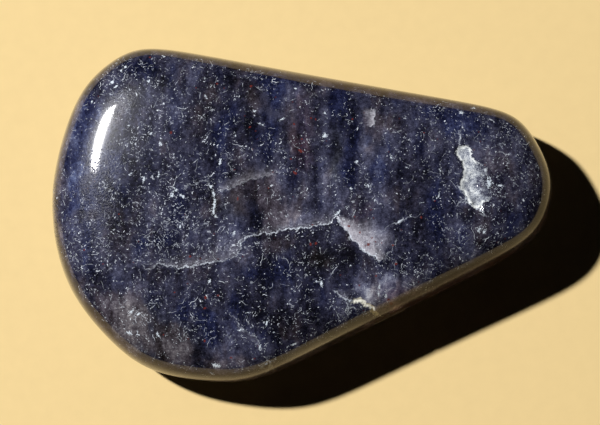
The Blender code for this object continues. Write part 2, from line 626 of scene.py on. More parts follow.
@dataclass(frozen=True)
class Fracture:
    """A crack that shows as a pale line, with a veil on one side of it.

    The trace gives pixels and how bright the line is there. The veil lies between the trace and the back, which runs
    from the trace's end round to its start, and shade darkens it instead where it is negative. The lean is how far the
    sheet has moved, in millimetres, by the time that it comes out of the underside.
    """

    name: str
    trace: tuple[tuple[float, float, float], ...]
    back: tuple[Pixel, ...] = ()
    veil: float = 0.0
    line_width: float = 0.65
    cream: float = 0.0
    raggedness: float = 0.13
    groove: float = 0.03
    face: Face = Face.THROUGH
    lean: tuple[float, float] = (0.0, 0.0)

    def broken(self) -> np.ndarray:
        """The trace, ragged as it runs through the grains."""
        return ragged(self.trace, self.raggedness, self.name)


def smooth(values: np.ndarray, low: float, high: float) -> np.ndarray:
    """A smooth step from 0 at low to 1 at high, which may be the smaller one."""
    share = np.clip((values - low) / (high - low), 0.0, 1.0)
    return share * share * (3.0 - 2.0 * share)


@dataclass(frozen=True)
class Oval:
    """An oval in the picture, in pixels, turned clockwise in degrees.

    Its edge says where its strength starts and where it is full, as shares of its half size.
    """

    x: float
    y: float
    half_x: float
    half_y: float
    turn: float = 0.0
    strength: float = 1.0
    edge: tuple[float, float] = (1.4, 0.3)

    def reach(self, pixels: np.ndarray) -> np.ndarray:
        """How far out of the oval each place is.

        Args:
            pixels: Rows of places in the picture.

        Returns:
            One number for each place, with 1 on the oval's outline.
        """
        angle = math.radians(self.turn)
        away = pixels - np.array((self.x, self.y))
        along = away[:, 0] * math.cos(angle) + away[:, 1] * math.sin(angle)
        across = away[:, 1] * math.cos(angle) - away[:, 0] * math.sin(angle)
        return np.hypot(along / self.half_x, across / self.half_y)

    def share(self, pixels: np.ndarray, edge: tuple[float, float] | None = None) -> np.ndarray:
        """How much of the oval's strength is at each place, with its own edge or another."""
        return smooth(self.reach(pixels), *(edge or self.edge)) * self.strength


def hairline(name: str, *trace: tuple[float, float, float], width: float = 0.7, groove: float = 0.01) -> Fracture:
    """A lone thin line on the crown, without a veil."""
    return Fracture(name, trace, line_width=width, groove=groove, face=Face.CROWN)


def trace_offset(pixels: np.ndarray, trace: np.ndarray) -> tuple[np.ndarray, np.ndarray]:
    """How far places are to one side or the other of a trace.

    Args:
        pixels: Rows of places in the picture.
        trace: Rows of the trace's points, and a third value that runs along it.

    Returns:
        The distances, below 0 on the left of the trace, and the third value at the nearest point of the trace. Places
        that are far from the whole trace get a large distance and 0.
    """
    near = np.all((pixels > trace[:, :2].min(axis=0) - FAR) & (pixels < trace[:, :2].max(axis=0) + FAR), axis=1)
    places = pixels[near]
    best = np.full(len(places), FAR)
    value = np.zeros(len(places))
    side = np.ones(len(places))
    for start, end in zip(trace[:-1], trace[1:]):
        step = end[:2] - start[:2]
        way = places - start[:2]
        share = np.clip((way @ step) / max(step @ step, 1e-9), 0.0, 1.0)
        away = np.linalg.norm(way - share[:, None] * step, axis=1)
        nearer = away < best
        best[nearer] = away[nearer]
        value[nearer] = (start[2] + share * (end[2] - start[2]))[nearer]
        side[nearer] = np.where(step[0] * way[:, 1] < step[1] * way[:, 0], -1.0, 1.0)[nearer]
    offsets = np.full(len(pixels), FAR)
    values = np.zeros(len(pixels))
    offsets[near] = best * side
    values[near] = value
    return offsets, values


def inside(pixels: np.ndarray, outline: np.ndarray) -> np.ndarray:
    """Which places are inside a closed outline.

    Args:
        pixels: Rows of places in the picture.
        outline: Rows of the outline's corners.

    Returns:
        True or false for each place.
    """
    within = np.zeros(len(pixels), bool)
    for start, end in zip(outline, np.roll(outline, -1, axis=0)):
        crosses = (start[1] > pixels[:, 1]) != (end[1] > pixels[:, 1])
        rise = end[1] - start[1]
        where = start[0] + (pixels[:, 1] - start[1]) * (end[0] - start[0]) / (rise if rise else 1e-9)
        within ^= crosses & (pixels[:, 0] < where)
    return within


def ragged(trace: tuple, raggedness: float, seed: str, levels: int = 3) -> np.ndarray:
    """Break a trace into shorter and shorter steps, as a fracture runs through grains.

    Args:
        trace: The points, with any third value.
        raggedness: How far a step's middle moves sideways, as a share of the step.
        seed: What the random draws start from.
        levels: How many times each step is halved.

    Returns:
        Rows of the finer trace.
    """
    draws = random.Random(seed)
    points = [np.array(point, float) for point in trace]
    for _ in range(levels):
        finer = [points[0]]
        for start, end in zip(points[:-1], points[1:]):
            step = end[:2] - start[:2]
            middle = (start + end) / 2.0
            middle[:2] += np.array((-step[1], step[0])) * draws.uniform(-raggedness, raggedness) * 2.0
            finer += [middle, end]
        points = finer
    return np.array(points)


# The stone's soft tones on the crown and on the underside, and where flecks, rust, and the flanks' wear with its
# painted rim reflection are denser or sparser
CROWN_PATCHES: dict[Tone, tuple[Oval, ...]] = {
    Tone.DEEP: (Oval(424, 205, 34, 56, 0, 0.65), Oval(140, 210, 70, 56, 0, 0.6), Oval(275, 300, 66, 38)),
    # Oval(76, 197) is a painted glow: a paler, bluer band of light along the left shoulder
    Tone.GLOW: (Oval(76, 197, 7, 33, 6), Oval(368, 145, 4, 6, 0, 0.7)),
    Tone.SMOKE: (
        Oval(84, 214, 9, 6), Oval(255, 198, 42, 22, -12, 0.8), Oval(235, 90, 30, 14, 8, 0.6),
        Oval(392, 120, 20, 11, 8, 0.8), Oval(285, 241, 16, 7, 0, 0.8), Oval(515, 175, 26, 34, 0, 0.7),
        Oval(410, 190, 26, 30, 0, 0.5), Oval(315, 205, 110, 30, 0, 0.3),
    ),
    Tone.BLUE: (
        Oval(251, 280, 5, 11), Oval(214, 321, 6, 8), Oval(84, 112, 16, 30, 20, 0.9), Oval(90, 175, 26, 60, 0, 0.7),
    ),
    Tone.TAN: (
        Oval(117, 317, 16, 17, 30, 0.5), Oval(118, 326, 46, 30, 45, 0.6), Oval(288, 214, 18, 9, 0, 0.6),
        Oval(156, 330, 26, 18, 20, 0.8), Oval(240, 67, 26, 7, 8, 0.5), Oval(120, 320, 26, 26, 40, 0.5),
        Oval(176, 346, 14, 13, 30, 0.95), Oval(205, 366, 56, 9, 3, 0.7),
    ),
    Tone.PALE: (
        Oval(394, 292, 30, 15, -22), Oval(372, 292, 24, 12, 10, 0.7), Oval(384, 238, 12, 16, 0, 0.6),
        # Oval(55, 205, 8, 64) is a painted highlight: it lightens the left rim, the flank that faces the softbox
        Oval(55, 205, 8, 64), Oval(71, 125, 8, 44, 24, 0.8), Oval(112, 66, 30, 7, -38, 0.5),
        Oval(378, 286, 34, 17, 20, 0.9), Oval(360, 294, 10, 8, 0, 0.9), Oval(297, 219, 26, 9, 0, 0.8),
        Oval(296, 222, 13, 6, 0, 0.6), Oval(402, 262, 11, 22, 0, 0.35), Oval(372, 240, 16, 15, 0, 0.8),
    ),
    Tone.OLIVE: (
        Oval(150, 335, 52, 30, 20, 0.6), Oval(334, 152, 7, 30, 0, 0.9), Oval(324, 260, 8, 14, 0, 0.8),
        Oval(510, 240, 12, 7, 0, 0.7), Oval(228, 205, 16, 12, 0, 0.5),
    ),
    Tone.HAZE: (
        Oval(516, 185, 40, 60, 0, 0.7), Oval(258, 198, 44, 22, -12, 0.6), Oval(130, 150, 70, 80, 0, 0.25),
        Oval(165, 110, 20, 22, 0, 0.6), Oval(397, 146, 14, 18, 0, 0.5), Oval(205, 240, 34, 14, 0, 0.5),
        Oval(224, 333, 32, 14, 0, 0.5), Oval(502, 163, 18, 13, 0, 0.5), Oval(462, 248, 14, 14, 0, 0.5),
        Oval(334, 192, 10, 24, 0, 0.9), Oval(318, 185, 5, 20, 0, 0.5), Oval(370, 175, 17, 26, 0, 0.45),
    ),
    Tone.ROSE: (
        Oval(392, 296, 22, 10, -20, 0.4), Oval(367, 218, 9, 12, 0, 0.7), Oval(302, 132, 13, 42, 0, 0.8),
        Oval(303, 152, 9, 16, 0, 0.7), Oval(400, 301, 14, 7, -20, 0.9),
    ),
    Tone.NAVY: (
        Oval(150, 66, 20, 10, 10), Oval(272, 88, 14, 18), Oval(340, 95, 14, 14, 0, 0.9),
        Oval(455, 120, 34, 16, 12, 0.9), Oval(225, 135, 11, 22), Oval(265, 122, 16, 14, 0, 0.7),
        Oval(351, 165, 8, 28), Oval(252, 219, 6, 14), Oval(268, 258, 8, 8), Oval(262, 277, 36, 14, 0, 0.7),
        Oval(185, 315, 7, 16), Oval(211, 327, 9, 14), Oval(115, 192, 18, 9, 0, 0.8), Oval(157, 243, 20, 9, 0, 0.7),
        Oval(434, 222, 14, 32, 0, 0.9), Oval(433, 282, 14, 9, 0, 0.9),
    ),
    Tone.BLACK: (
        Oval(325, 262, 26, 24, 10, 0.85), Oval(300, 320, 34, 26, -10, 0.8), Oval(92, 285, 18, 14, 20, 0.7),
        Oval(155, 275, 20, 9, 0, 0.8), Oval(488, 243, 11, 9, 0, 0.7), Oval(466, 213, 9, 8, 20),
        Oval(195, 350, 9, 7, 0, 0.6),
    ),
}

KEEL_PATCHES: dict[Tone, tuple[Oval, ...]] = {
    Tone.NAVY: (Oval(180, 150, 22, 30, 10, 0.8),),
    Tone.HAZE: (Oval(260, 230, 50, 20, -20, 0.8),),
    Tone.SMOKE: (Oval(380, 200, 50, 36, 15, 0.8),),
    Tone.BLACK: (Oval(320, 290, 46, 22, 20, 0.7),),
    Tone.BLUE: (Oval(120, 240, 36, 50, 0, 0.8),),
    Tone.ROSE: (Oval(440, 170, 22, 14, 10, 0.6),),
    Tone.TAN: (Oval(210, 330, 40, 18, 0, 0.5),),
}

DENSITIES: dict[Field, tuple[Oval, ...]] = {
    Field.FLECKS: (
        Oval(82, 165, 26, 60, 0, -0.5), Oval(252, 218, 14, 16, 0, -1.0), Oval(150, 240, 40, 30, 0, 0.4),
        Oval(123, 80, 20, 18, 0, 0.9), Oval(180, 210, 36, 38, 0, 0.7), Oval(440, 175, 18, 34, 0, 0.5),
        Oval(425, 255, 24, 22, 0, 0.2), Oval(424, 215, 40, 50, 0, -0.5), Oval(275, 300, 70, 36, 0, -0.35),
        Oval(200, 272, 30, 16, 0, 0.4), Oval(300, 120, 120, 50, 0, -0.5), Oval(150, 320, 30, 16, 0, 0.4),
        Oval(500, 170, 34, 44, 0, 0.5), Oval(200, 115, 60, 40, 0, 0.15), Oval(265, 195, 44, 22, 0, -0.6),
        Oval(325, 248, 32, 22, 0, -0.7), Oval(310, 215, 36, 14, 0, -0.4), Oval(375, 235, 24, 22, 0, -0.5),
        Oval(390, 125, 34, 20, 0, -0.3), Oval(525, 215, 26, 40, 0, -0.4), Oval(200, 350, 60, 16, 0, -0.4),
    ),
    Field.SCUFF: (Oval(88, 208, 40, 62, 0, 1.2, (1.4, 0.0)), Oval(118, 104, 36, 14, -52, 0.35, (1.4, 0.2))),
    Field.DULL: (Oval(119, 101, 27, 18, -52, 0.98, (1.1, 0.6)), Oval(76, 190, 22, 40, 0, 0.6, (1.2, 0.4))),
    # The wear dulls the coat on the flanks, most at the lower right and bottom; its brown tint in the body colour is a
    # painted rim reflection of the warm floor
    Field.WEAR: (
        Oval(230, 385, 120, 40, 0, 0.75), Oval(440, 300, 130, 60, -28, 0.92), Oval(400, 85, 200, 40, 9, 0.55),
        Oval(552, 185, 30, 60, 0, 0.55), Oval(100, 335, 60, 50, 0, 0.5),
    ),
    Field.RUST: (
        Oval(304, 135, 22, 46, 0, 0.8), Oval(260, 115, 70, 40, 0, 0.3), Oval(325, 255, 26, 20, 0, 0.5),
        Oval(374, 240, 24, 18, 0, 0.6), Oval(395, 300, 18, 12, 0, 0.7), Oval(215, 258, 30, 14, 0, 0.4),
        Oval(150, 310, 60, 40, 0, 0.2),
    ),
}

FRACTURES: tuple[Fracture, ...] = (
    Fracture(
        "main crack, left stretch",
        ((145, 269, 0.25), (154, 266, 0.3), (163, 264, 0.45), (172, 266, 0.5), (180, 268, 0.8), (185, 266, 0.9),
         (196, 265, 0.8), (202, 264, 0.9), (210, 262.7, 0.85), (222, 261.3, 0.5), (228, 258.7, 0.35),
         (233.6, 257, 0.35), (238, 253, 0.45), (241.6, 248.4, 0.4), (241, 243, 0.4), (244, 238.6, 0.6),
         (250.5, 235.6, 0.6)),
        back=((242, 228), (226, 232), (208, 240), (190, 250), (168, 257)),
        veil=0.26, groove=0.04, lean=(0.8, 1.6),
    ),
    Fracture(
        "main crack, right stretch",
        ((250.5, 235.6, 0.6), (261, 233.4, 0.75), (269.8, 234.7, 0.8), (274.3, 232, 0.8), (279.6, 229.4, 0.85),
         (285.9, 228.9, 1.0), (292, 228.5, 0.9), (300, 227, 1.0), (309, 228, 0.9), (315.4, 225.8, 0.9),
         (321.6, 224.6, 0.8), (327.9, 224.6, 0.75), (331.4, 221.4, 0.8), (336, 215.6, 1.0)),
        back=((338, 200), (318, 205), (292, 212), (270, 222), (258, 229)),
        veil=0.26, groove=0.05, lean=(0.8, 1.6),
    ),
    Fracture(
        "dark foot of the main crack",
        ((254, 237, 0.0), (269.8, 236.5, 0.0), (280, 231.5, 0.0), (300, 229.2, 0.0), (316, 228, 0.0), (333, 222, 0.0),
         (341, 226.5, 0.0), (350, 239, 0.0), (358, 248.5, 0.0), (374, 257.5, 0.0)),
        back=((366, 282), (340, 280), (316, 268), (296, 250), (270, 244)),
        veil=-0.55, line_width=0.0, groove=0.0, face=Face.CROWN,
    ),
    Fracture(
        "second crack",
        ((336, 215.6, 1.0), (338.7, 220, 0.8), (341, 224.5, 0.6), (345.4, 229.8, 0.55), (349.8, 234.7, 0.6),
         (351.6, 238.8, 0.9), (357, 242.3, 0.9), (359.2, 246.8, 0.9), (364, 249.5, 0.9), (370.4, 254.4, 1.0),
         (374.8, 255.7, 0.95), (380.2, 260.2, 0.7)),
        back=((386, 259), (387, 254.4), (393.6, 246.8), (396, 240), (388, 226), (366, 214)),
        veil=1.0, line_width=0.8, groove=0.06, lean=(-0.6, 0.9),
    ),
    hairline(
        "right edge of the second crack's veil",
        (395.8, 240, 0.25), (393.6, 246.8, 0.4), (386.9, 254.4, 0.3), (386, 259.3, 0.2),
    ),
    hairline(
        "thin pale line",
        (375.7, 234.3, 0.2), (384.6, 229.8, 0.2), (391.8, 224.5, 0.25), (396, 224, 0.4), (400.5, 221.6, 0.5),
        (403, 219.6, 0.3), (408, 216.4, 0.2), (420.7, 212.5, 0.1), width=0.55, groove=0.015,
    ),
    Fracture(
        "lower crack, thin start",
        ((334.2, 291, 0.5), (338.2, 294, 0.6), (343.6, 297.7, 0.75), (347, 299.5, 0.8), (351, 300.4, 0.8),
         (354.3, 300.8, 0.9)),
        back=((356, 290), (344, 287)),
        veil=0.25, groove=0.03, face=Face.CROWN,
    ),
    Fracture(
        "lower crack, broad end",
        ((354.3, 300.8, 0.9), (359.6, 300.2, 1.0), (364, 303, 1.0), (366.8, 305.6, 1.0), (370.4, 307, 1.0),
         (373, 309, 1.0), (374.6, 313, 0.9), (377, 315, 0.6)),
        back=((392, 304), (384, 290), (370, 283), (356, 286)),
        veil=0.4, line_width=2.2, cream=1.0, groove=0.09, lean=(0.3, 0.8),
    ),
    hairline("branch under the lower crack", (347.9, 303.6, 0.5), (348, 306, 0.5), (347, 314.6, 0.3)),
    Fracture(
        "upper left fracture",
        ((218.5, 191, 0.25), (222.5, 191, 0.2), (230.5, 189.6, 0.2), (235, 186, 0.2), (240.4, 184.3, 0.15),
         (247.5, 180.7, 0.15), (254.6, 179.4, 0.12), (259, 177.6, 0.1), (265.4, 175.4, 0.1), (276, 170.5, 0.0)),
        back=((268, 162), (246, 164), (226, 172), (212, 180)),
        veil=0.34, line_width=0.7, groove=0.02, lean=(0.4, -0.6),
    ),
    hairline(
        "wisp beside the white end",
        (185, 185.6, 0.35), (192, 185, 0.3), (198.4, 182.5, 0.3), (203.8, 180.7, 0.4), (207.3, 180.7, 0.4),
        (209.6, 185.2, 0.5),
    ),
    hairline("short line under the white end", (206.4, 223.6, 0.4), (198.4, 227, 0.35), (194.8, 230.7, 0.2)),
    hairline(
        "line above the bruise",
        (461.5, 124.3, 0.12), (459, 131.5, 0.3), (459.5, 139.4, 0.75), (460.3, 144, 0.9), width=0.8, groove=0.02,
    ),
    hairline(
        "tail of the bruise",
        (460, 188, 1.0), (464.7, 193, 1.0), (468, 201.6, 0.95), (472, 205.8, 0.9), (477, 208.6, 0.85),
        (480.5, 210.4, 0.7), (483.5, 214.4, 0.4), width=1.3, groove=0.04,
    ),
    hairline("arc under the bruise", (457, 205.5, 0.3), (461, 202.2, 0.45), (464.5, 201.2, 0.4)),
    Fracture(
        "scratch in the lower left",
        ((230.6, 315.2, 0.15), (236, 321, 0.25), (242.6, 328.2, 0.25), (250, 335, 0.2), (258.8, 342.8, 0.5),
         (260, 350, 0.7)),
        back=((250, 352), (243, 342)),
        veil=0.2, line_width=0.55, groove=0.015, face=Face.CROWN,
    ),
    hairline(
        "edge of the translucent chip",
        (261, 367, 0.5), (266, 363.5, 0.9), (269, 361.5, 0.9), (271.5, 366, 0.4), (266, 372, 0.2), width=1.4,
        groove=0.02,
    ),
    Fracture(
        "pale feather",
        ((371.6, 108.2, 0.2), (375.2, 113.6, 0.3), (374.7, 121.6, 0.3), (369.4, 126.5, 0.2)),
        back=((367, 124.3), (360, 113.6), (365.4, 106.4)),
        veil=0.9, line_width=0.7, groove=0.0, face=Face.CROWN,
    ),
    Fracture(
        "seam across the underside",
        ((170, 160, 0.3), (205, 175, 0.6), (240, 170, 0.7), (275, 188, 0.8), (320, 182, 0.6), (352, 196, 0.3)),
        back=((330, 165), (270, 160), (210, 158)),
        veil=0.4, groove=0.04, face=Face.KEEL,
    ),
    Fracture(
        "short seam under the narrow end",
        ((420, 205, 0.4), (438, 190, 0.8), (462, 184, 0.6), (476, 172, 0.3)),
        back=((470, 165), (440, 172)),
        veil=0.35, groove=0.03, face=Face.KEEL,
    ),
)

# The larger white and rust-red marks
WHITE_BITS: tuple[Oval, ...] = (
    Oval(489, 183, 3.4, 5.6, 12), Oval(482, 198, 3.4, 2.0, -20), Oval(485.6, 170, 1.6, 1.2),
    Oval(338.3, 212.4, 4.4, 1.1, -52), Oval(210.4, 187.4, 1.2, 3.0, -20), Oval(213.4, 193.6, 1.3, 4.0, -18),
    Oval(214.6, 202.4, 1.7, 6.0, 2), Oval(213.6, 211.6, 1.5, 4.4, 4), Oval(215.4, 216.2, 2.2, 1.0, 25),
    Oval(500, 185.6, 4.0, 0.9, 12), Oval(501, 145.6, 2.0, 1.0, 60), Oval(504, 143.8, 1.6, 0.9, 50),
    Oval(480, 228.5, 3.6, 2.2, -40), Oval(484, 232, 1.2, 2.0), Oval(461.8, 113, 2.6, 1.6, 10),
    Oval(473.5, 108, 2.0, 1.2), Oval(440, 170, 2.0, 1.0, 45), Oval(439, 194, 0.8, 3.0, 8),
    Oval(436.5, 198, 2.6, 0.8, -35), Oval(421.5, 202.6, 2.4, 0.7), Oval(407.5, 167.6, 1.8, 0.8, 20),
    Oval(399.5, 222, 2.2, 1.4, -30), Oval(350.6, 188.4, 2.4, 1.3, 10), Oval(367.5, 186, 2.6, 1.4, 20),
    Oval(375, 200.5, 1.0, 2.4, -15), Oval(347, 208, 1.2, 2.0, -20), Oval(356.5, 161.5, 2.2, 1.2, -30),
    Oval(391.5, 158, 1.0, 2.2, -20), Oval(325, 136, 1.8, 3.2, -10), Oval(324.8, 113, 1.6, 1.2, 40),
    Oval(379.5, 285.5, 0.9, 3.4, 4), Oval(378.6, 293.5, 1.1, 3.6, -6), Oval(386, 295.5, 1.0, 3.0, -12),
    Oval(350.4, 265.8, 1.5, 0.8, -10), Oval(361.5, 249, 1.6, 1.0), Oval(321.6, 284, 1.2, 3.6, -10),
    Oval(317, 281.6, 2.6, 0.9, 20), Oval(294.5, 291, 1.1, 1.0), Oval(128.7, 333, 3.2, 2.2, 25),
    Oval(137.3, 333.6, 0.9, 2.6, 15), Oval(132, 311, 3.8, 1.0, -38), Oval(139, 314, 2.6, 0.8, -20),
    Oval(157.8, 335, 1.2, 3.0, -20), Oval(216.4, 365.6, 3.6, 2.6, 10), Oval(212.4, 373.4, 1.8, 1.2, 30),
    Oval(240, 330.2, 3.6, 0.9, -14), Oval(260, 346.6, 1.0, 3.4, 4), Oval(248.6, 312.6, 2.4, 0.9, 15),
    Oval(266.6, 323.6, 0.8, 3.0, 20), Oval(274, 332.4, 1.4, 0.9), Oval(295.2, 344, 3.0, 1.0, -20),
    Oval(209.6, 281.2, 1.2, 2.4, 20), Oval(151, 133.6, 2.4, 1.2, -10), Oval(160.4, 143, 1.0, 2.6, 5),
    Oval(149, 81, 2.0, 1.2, -30), Oval(111.5, 82.6, 2.4, 1.2, -35), Oval(116, 86.6, 2.6, 0.8, -30),
    Oval(126, 67, 2.0, 1.4, 20), Oval(121, 71, 1.6, 1.2), Oval(111, 94.6, 2.4, 0.8, 20),
    Oval(91.5, 101.6, 0.9, 2.0, 15), Oval(163, 56, 2.0, 0.8, 20), Oval(128, 125, 2.0, 0.8, 35),
    Oval(131, 174, 2.6, 1.0, -20), Oval(176, 190, 1.2, 4.0, -40), Oval(182.6, 196.6, 3.0, 1.4, 30),
    Oval(172, 195, 1.6, 3.4, 25), Oval(158.6, 175, 1.2, 3.4, 10), Oval(143.6, 179, 1.0, 3.0, 5),
    Oval(161.6, 144, 0.9, 2.0), Oval(180, 226, 0.8, 3.0, 15), Oval(287, 216.4, 1.8, 1.0, -40),
    Oval(240.6, 243.4, 1.0, 3.0, 10), Oval(234, 233.4, 1.6, 3.2, 25), Oval(206, 97, 1.0, 2.4, -35),
    Oval(181.4, 94, 1.6, 1.0, 30), Oval(205, 78.4, 1.8, 1.2, 20), Oval(295.8, 88.6, 1.3, 1.2),
    Oval(254.5, 111, 1.8, 1.2), Oval(235, 136.4, 1.4, 1.0), Oval(281.8, 119, 3.4, 1.2, -30),
    Oval(262, 124.8, 3.6, 0.9, 25), Oval(220, 162.6, 1.2, 4.0, 10),
)

RED_BITS: tuple[Oval, ...] = (
    Oval(301, 151, 3.0, 1.6, 20), Oval(291, 159, 1.2, 1.0), Oval(295, 173, 2.6, 1.6, 40),
    Oval(234.4, 169.6, 1.6, 1.0, 10), Oval(150, 57, 1.2, 1.0), Oval(196, 88, 0.9, 0.9), Oval(217, 83.6, 1.2, 1.1),
    Oval(251, 86, 1.3, 1.2), Oval(171, 132.6, 1.6, 1.6), Oval(250, 127, 1.8, 1.0, -40), Oval(294, 124, 1.2, 1.2),
    Oval(237.6, 198.6, 1.1, 2.0), Oval(268.8, 187.8, 1.2, 1.4), Oval(269.6, 219, 0.9, 1.1),
    Oval(312.6, 224.8, 1.0, 0.8), Oval(310.6, 244, 1.2, 1.8), Oval(316, 243.6, 1.6, 1.6),
    Oval(348.6, 226, 1.8, 1.2), Oval(359.8, 232.4, 1.1, 2.2, 10), Oval(372, 237.6, 1.4, 1.0, -30),
    Oval(368.6, 244.4, 1.9, 1.5), Oval(365.6, 245.8, 1.0, 0.9), Oval(375.8, 242, 1.3, 0.8, 30),
    Oval(381.6, 243, 1.1, 0.8, 30), Oval(393, 245.2, 1.1, 1.2), Oval(396, 264, 1.6, 1.4),
    Oval(359.4, 285.4, 1.0, 1.0), Oval(388.4, 299.6, 2.0, 1.4, -20), Oval(391.2, 303.4, 2.2, 2.0),
    Oval(205.6, 297.6, 1.6, 2.0), Oval(205, 308.2, 1.8, 1.0, -20), Oval(231, 357.6, 1.8, 1.2),
    Oval(254.6, 358.6, 1.4, 1.0), Oval(189.8, 256.6, 1.4, 1.6), Oval(421, 217.4, 1.3, 1.6),
    Oval(311, 118, 1.0, 0.9), Oval(315.6, 119.4, 0.9, 1.2), Oval(302, 139, 1.1, 0.9), Oval(253, 149.5, 1.0, 1.0),
    Oval(273, 172, 1.1, 0.8), Oval(302, 189.6, 0.9, 0.9), Oval(352.4, 119, 1.0, 1.0), Oval(424, 132.8, 1.2, 0.8),
    Oval(119, 214, 1.0, 0.9), Oval(84, 250, 0.9, 1.0), Oval(103, 264, 1.0, 0.9), Oval(174.6, 292.5, 1.1, 0.9),
    Oval(218, 295.6, 1.4, 1.0), Oval(273.8, 238, 1.1, 1.0), Oval(354.6, 216.5, 1.2, 1.0),
    Oval(371, 209.8, 1.2, 0.8), Oval(376, 276, 1.4, 1.0), Oval(204.6, 341, 1.1, 1.6), Oval(163.4, 334.7, 1.0, 1.0),
    Oval(435, 201, 1.0, 1.0),
)

BRUISE_RIM = (
    (456, 150), (457, 155.6), (459.8, 159.6), (462.6, 163.4), (462.8, 167), (462.6, 173), (461, 178.6), (459, 184),
    (460.2, 189), (464.6, 193), (467, 197.8), (468, 202), (472, 206),
)
BRUISE_FAR_SIDE = (
    (476, 208.4), (479.6, 207.4), (483, 202), (490, 199), (494.5, 192), (494, 184), (490, 178), (487, 171),
    (484, 165.5), (479, 162), (475, 160), (472, 157), (472.4, 153), (471.6, 148.6), (468, 144.8), (464, 146.2),
    (460, 145.6), (457.4, 147.6),
)


def bruise_trace() -> np.ndarray:
    """The bruise's outline, closed and ragged."""
    corners = tuple((*corner, 0.0) for corner in BRUISE_RIM + BRUISE_FAR_SIDE + BRUISE_RIM[:1])
    return ragged(corners, 0.12, "bruise", 2)


@dataclass(frozen=True)
class Bite:
    """A round or oval hollow that one flake left, in millimetres: a ball that is taken out of the surface."""

    centre: tuple[float, float, float]
    radii: tuple[float, float, float]

    def press(self, points: np.ndarray, inward: np.ndarray) -> np.ndarray:
        """Push the points that are inside the ball out through its far side.

        Args:
            points: Rows of surface points.
            inward: The way that each point is pushed, as unit rows.

        Returns:
            The moved points.
        """
        radii = np.array(self.radii)
        place = (points - np.array(self.centre)) / radii
        way = inward / radii
        square = (way * way).sum(1)
        cross = (place * way).sum(1)
        room = np.maximum(cross * cross - square * ((place * place).sum(1) - 1.0), 0.0)
        push = (np.sqrt(room) - cross) / np.maximum(square, 1e-9)
        push[(place * place).sum(1) >= 1.0] = 0.0
        return points + inward * push[:, None]


@dataclass(frozen=True)
class Damage:
    """The bruise across the crown and the chip in the long flank, in millimetres."""

    bruise_bites: tuple[tuple[float, float, float, float, float], ...] = (
        (13.15, 0.75, 0.75, 0.65, 0.24),
        (13.25, -0.35, 0.50, 0.90, 0.18),
        (13.30, -1.80, 0.90, 1.40, 0.32),
        (13.60, -3.35, 0.50, 0.95, 0.20),
    )
    bite_mouth: float = 0.85
    chipped_flank: tuple[float, float] = (287.0, 11.9)
    chip_bites: tuple[tuple[float, float, float, float], ...] = ((1.4, 5.4, 1.6, 0.42), (2.7, 4.9, 1.5, 0.36))
    crumb: float = 0.05
    crumbs_per_mm: float = 4.0
    crumb_octaves: int = 4
    bruise_edge: tuple[float, float] = (-0.2, 1.0)
    chip_edge: tuple[float, float] = (0.0, 0.1)

    def crumbs(self, points: np.ndarray) -> np.ndarray:
        """How high each point stands on a broken surface, around 0."""
        places = points * self.crumbs_per_mm
        return np.array([noise.fractal(Vector(place), 1.0, 2.0, self.crumb_octaves) for place in places])

    def bruise(self, form: StoneForm) -> list[Bite]:
        """The oval bites across the crown.

        Args:
            form: The form that they are taken out of.

        Returns:
            The bites.
        """
        floor_share = 1.0 - math.sqrt(1.0 - self.bite_mouth ** 2)
        bites = []
        for x, y, half_x, half_y, depth in self.bruise_bites:
            radii = (half_x / self.bite_mouth, half_y / self.bite_mouth, depth / floor_share)
            bites.append(Bite((x, y, form.crown_height(x, y) + radii[2] - depth), radii))
        return bites

    def chip(self) -> list[Bite]:
        """The round bites into the flank.

        Returns:
            The bites.
        """
        bearing = math.radians(self.chipped_flank[0])
        facing = Vector((math.cos(bearing), math.sin(bearing), 0.0))
        along = Vector((-math.sin(bearing), math.cos(bearing), 0.0))
        bites = []
        for place, height, radius, depth in self.chip_bites:
            centre = facing * (self.chipped_flank[1] + radius - depth) + along * place
            bites.append(Bite((centre.x, centre.y, height), (radius, radius, radius)))
        return bites


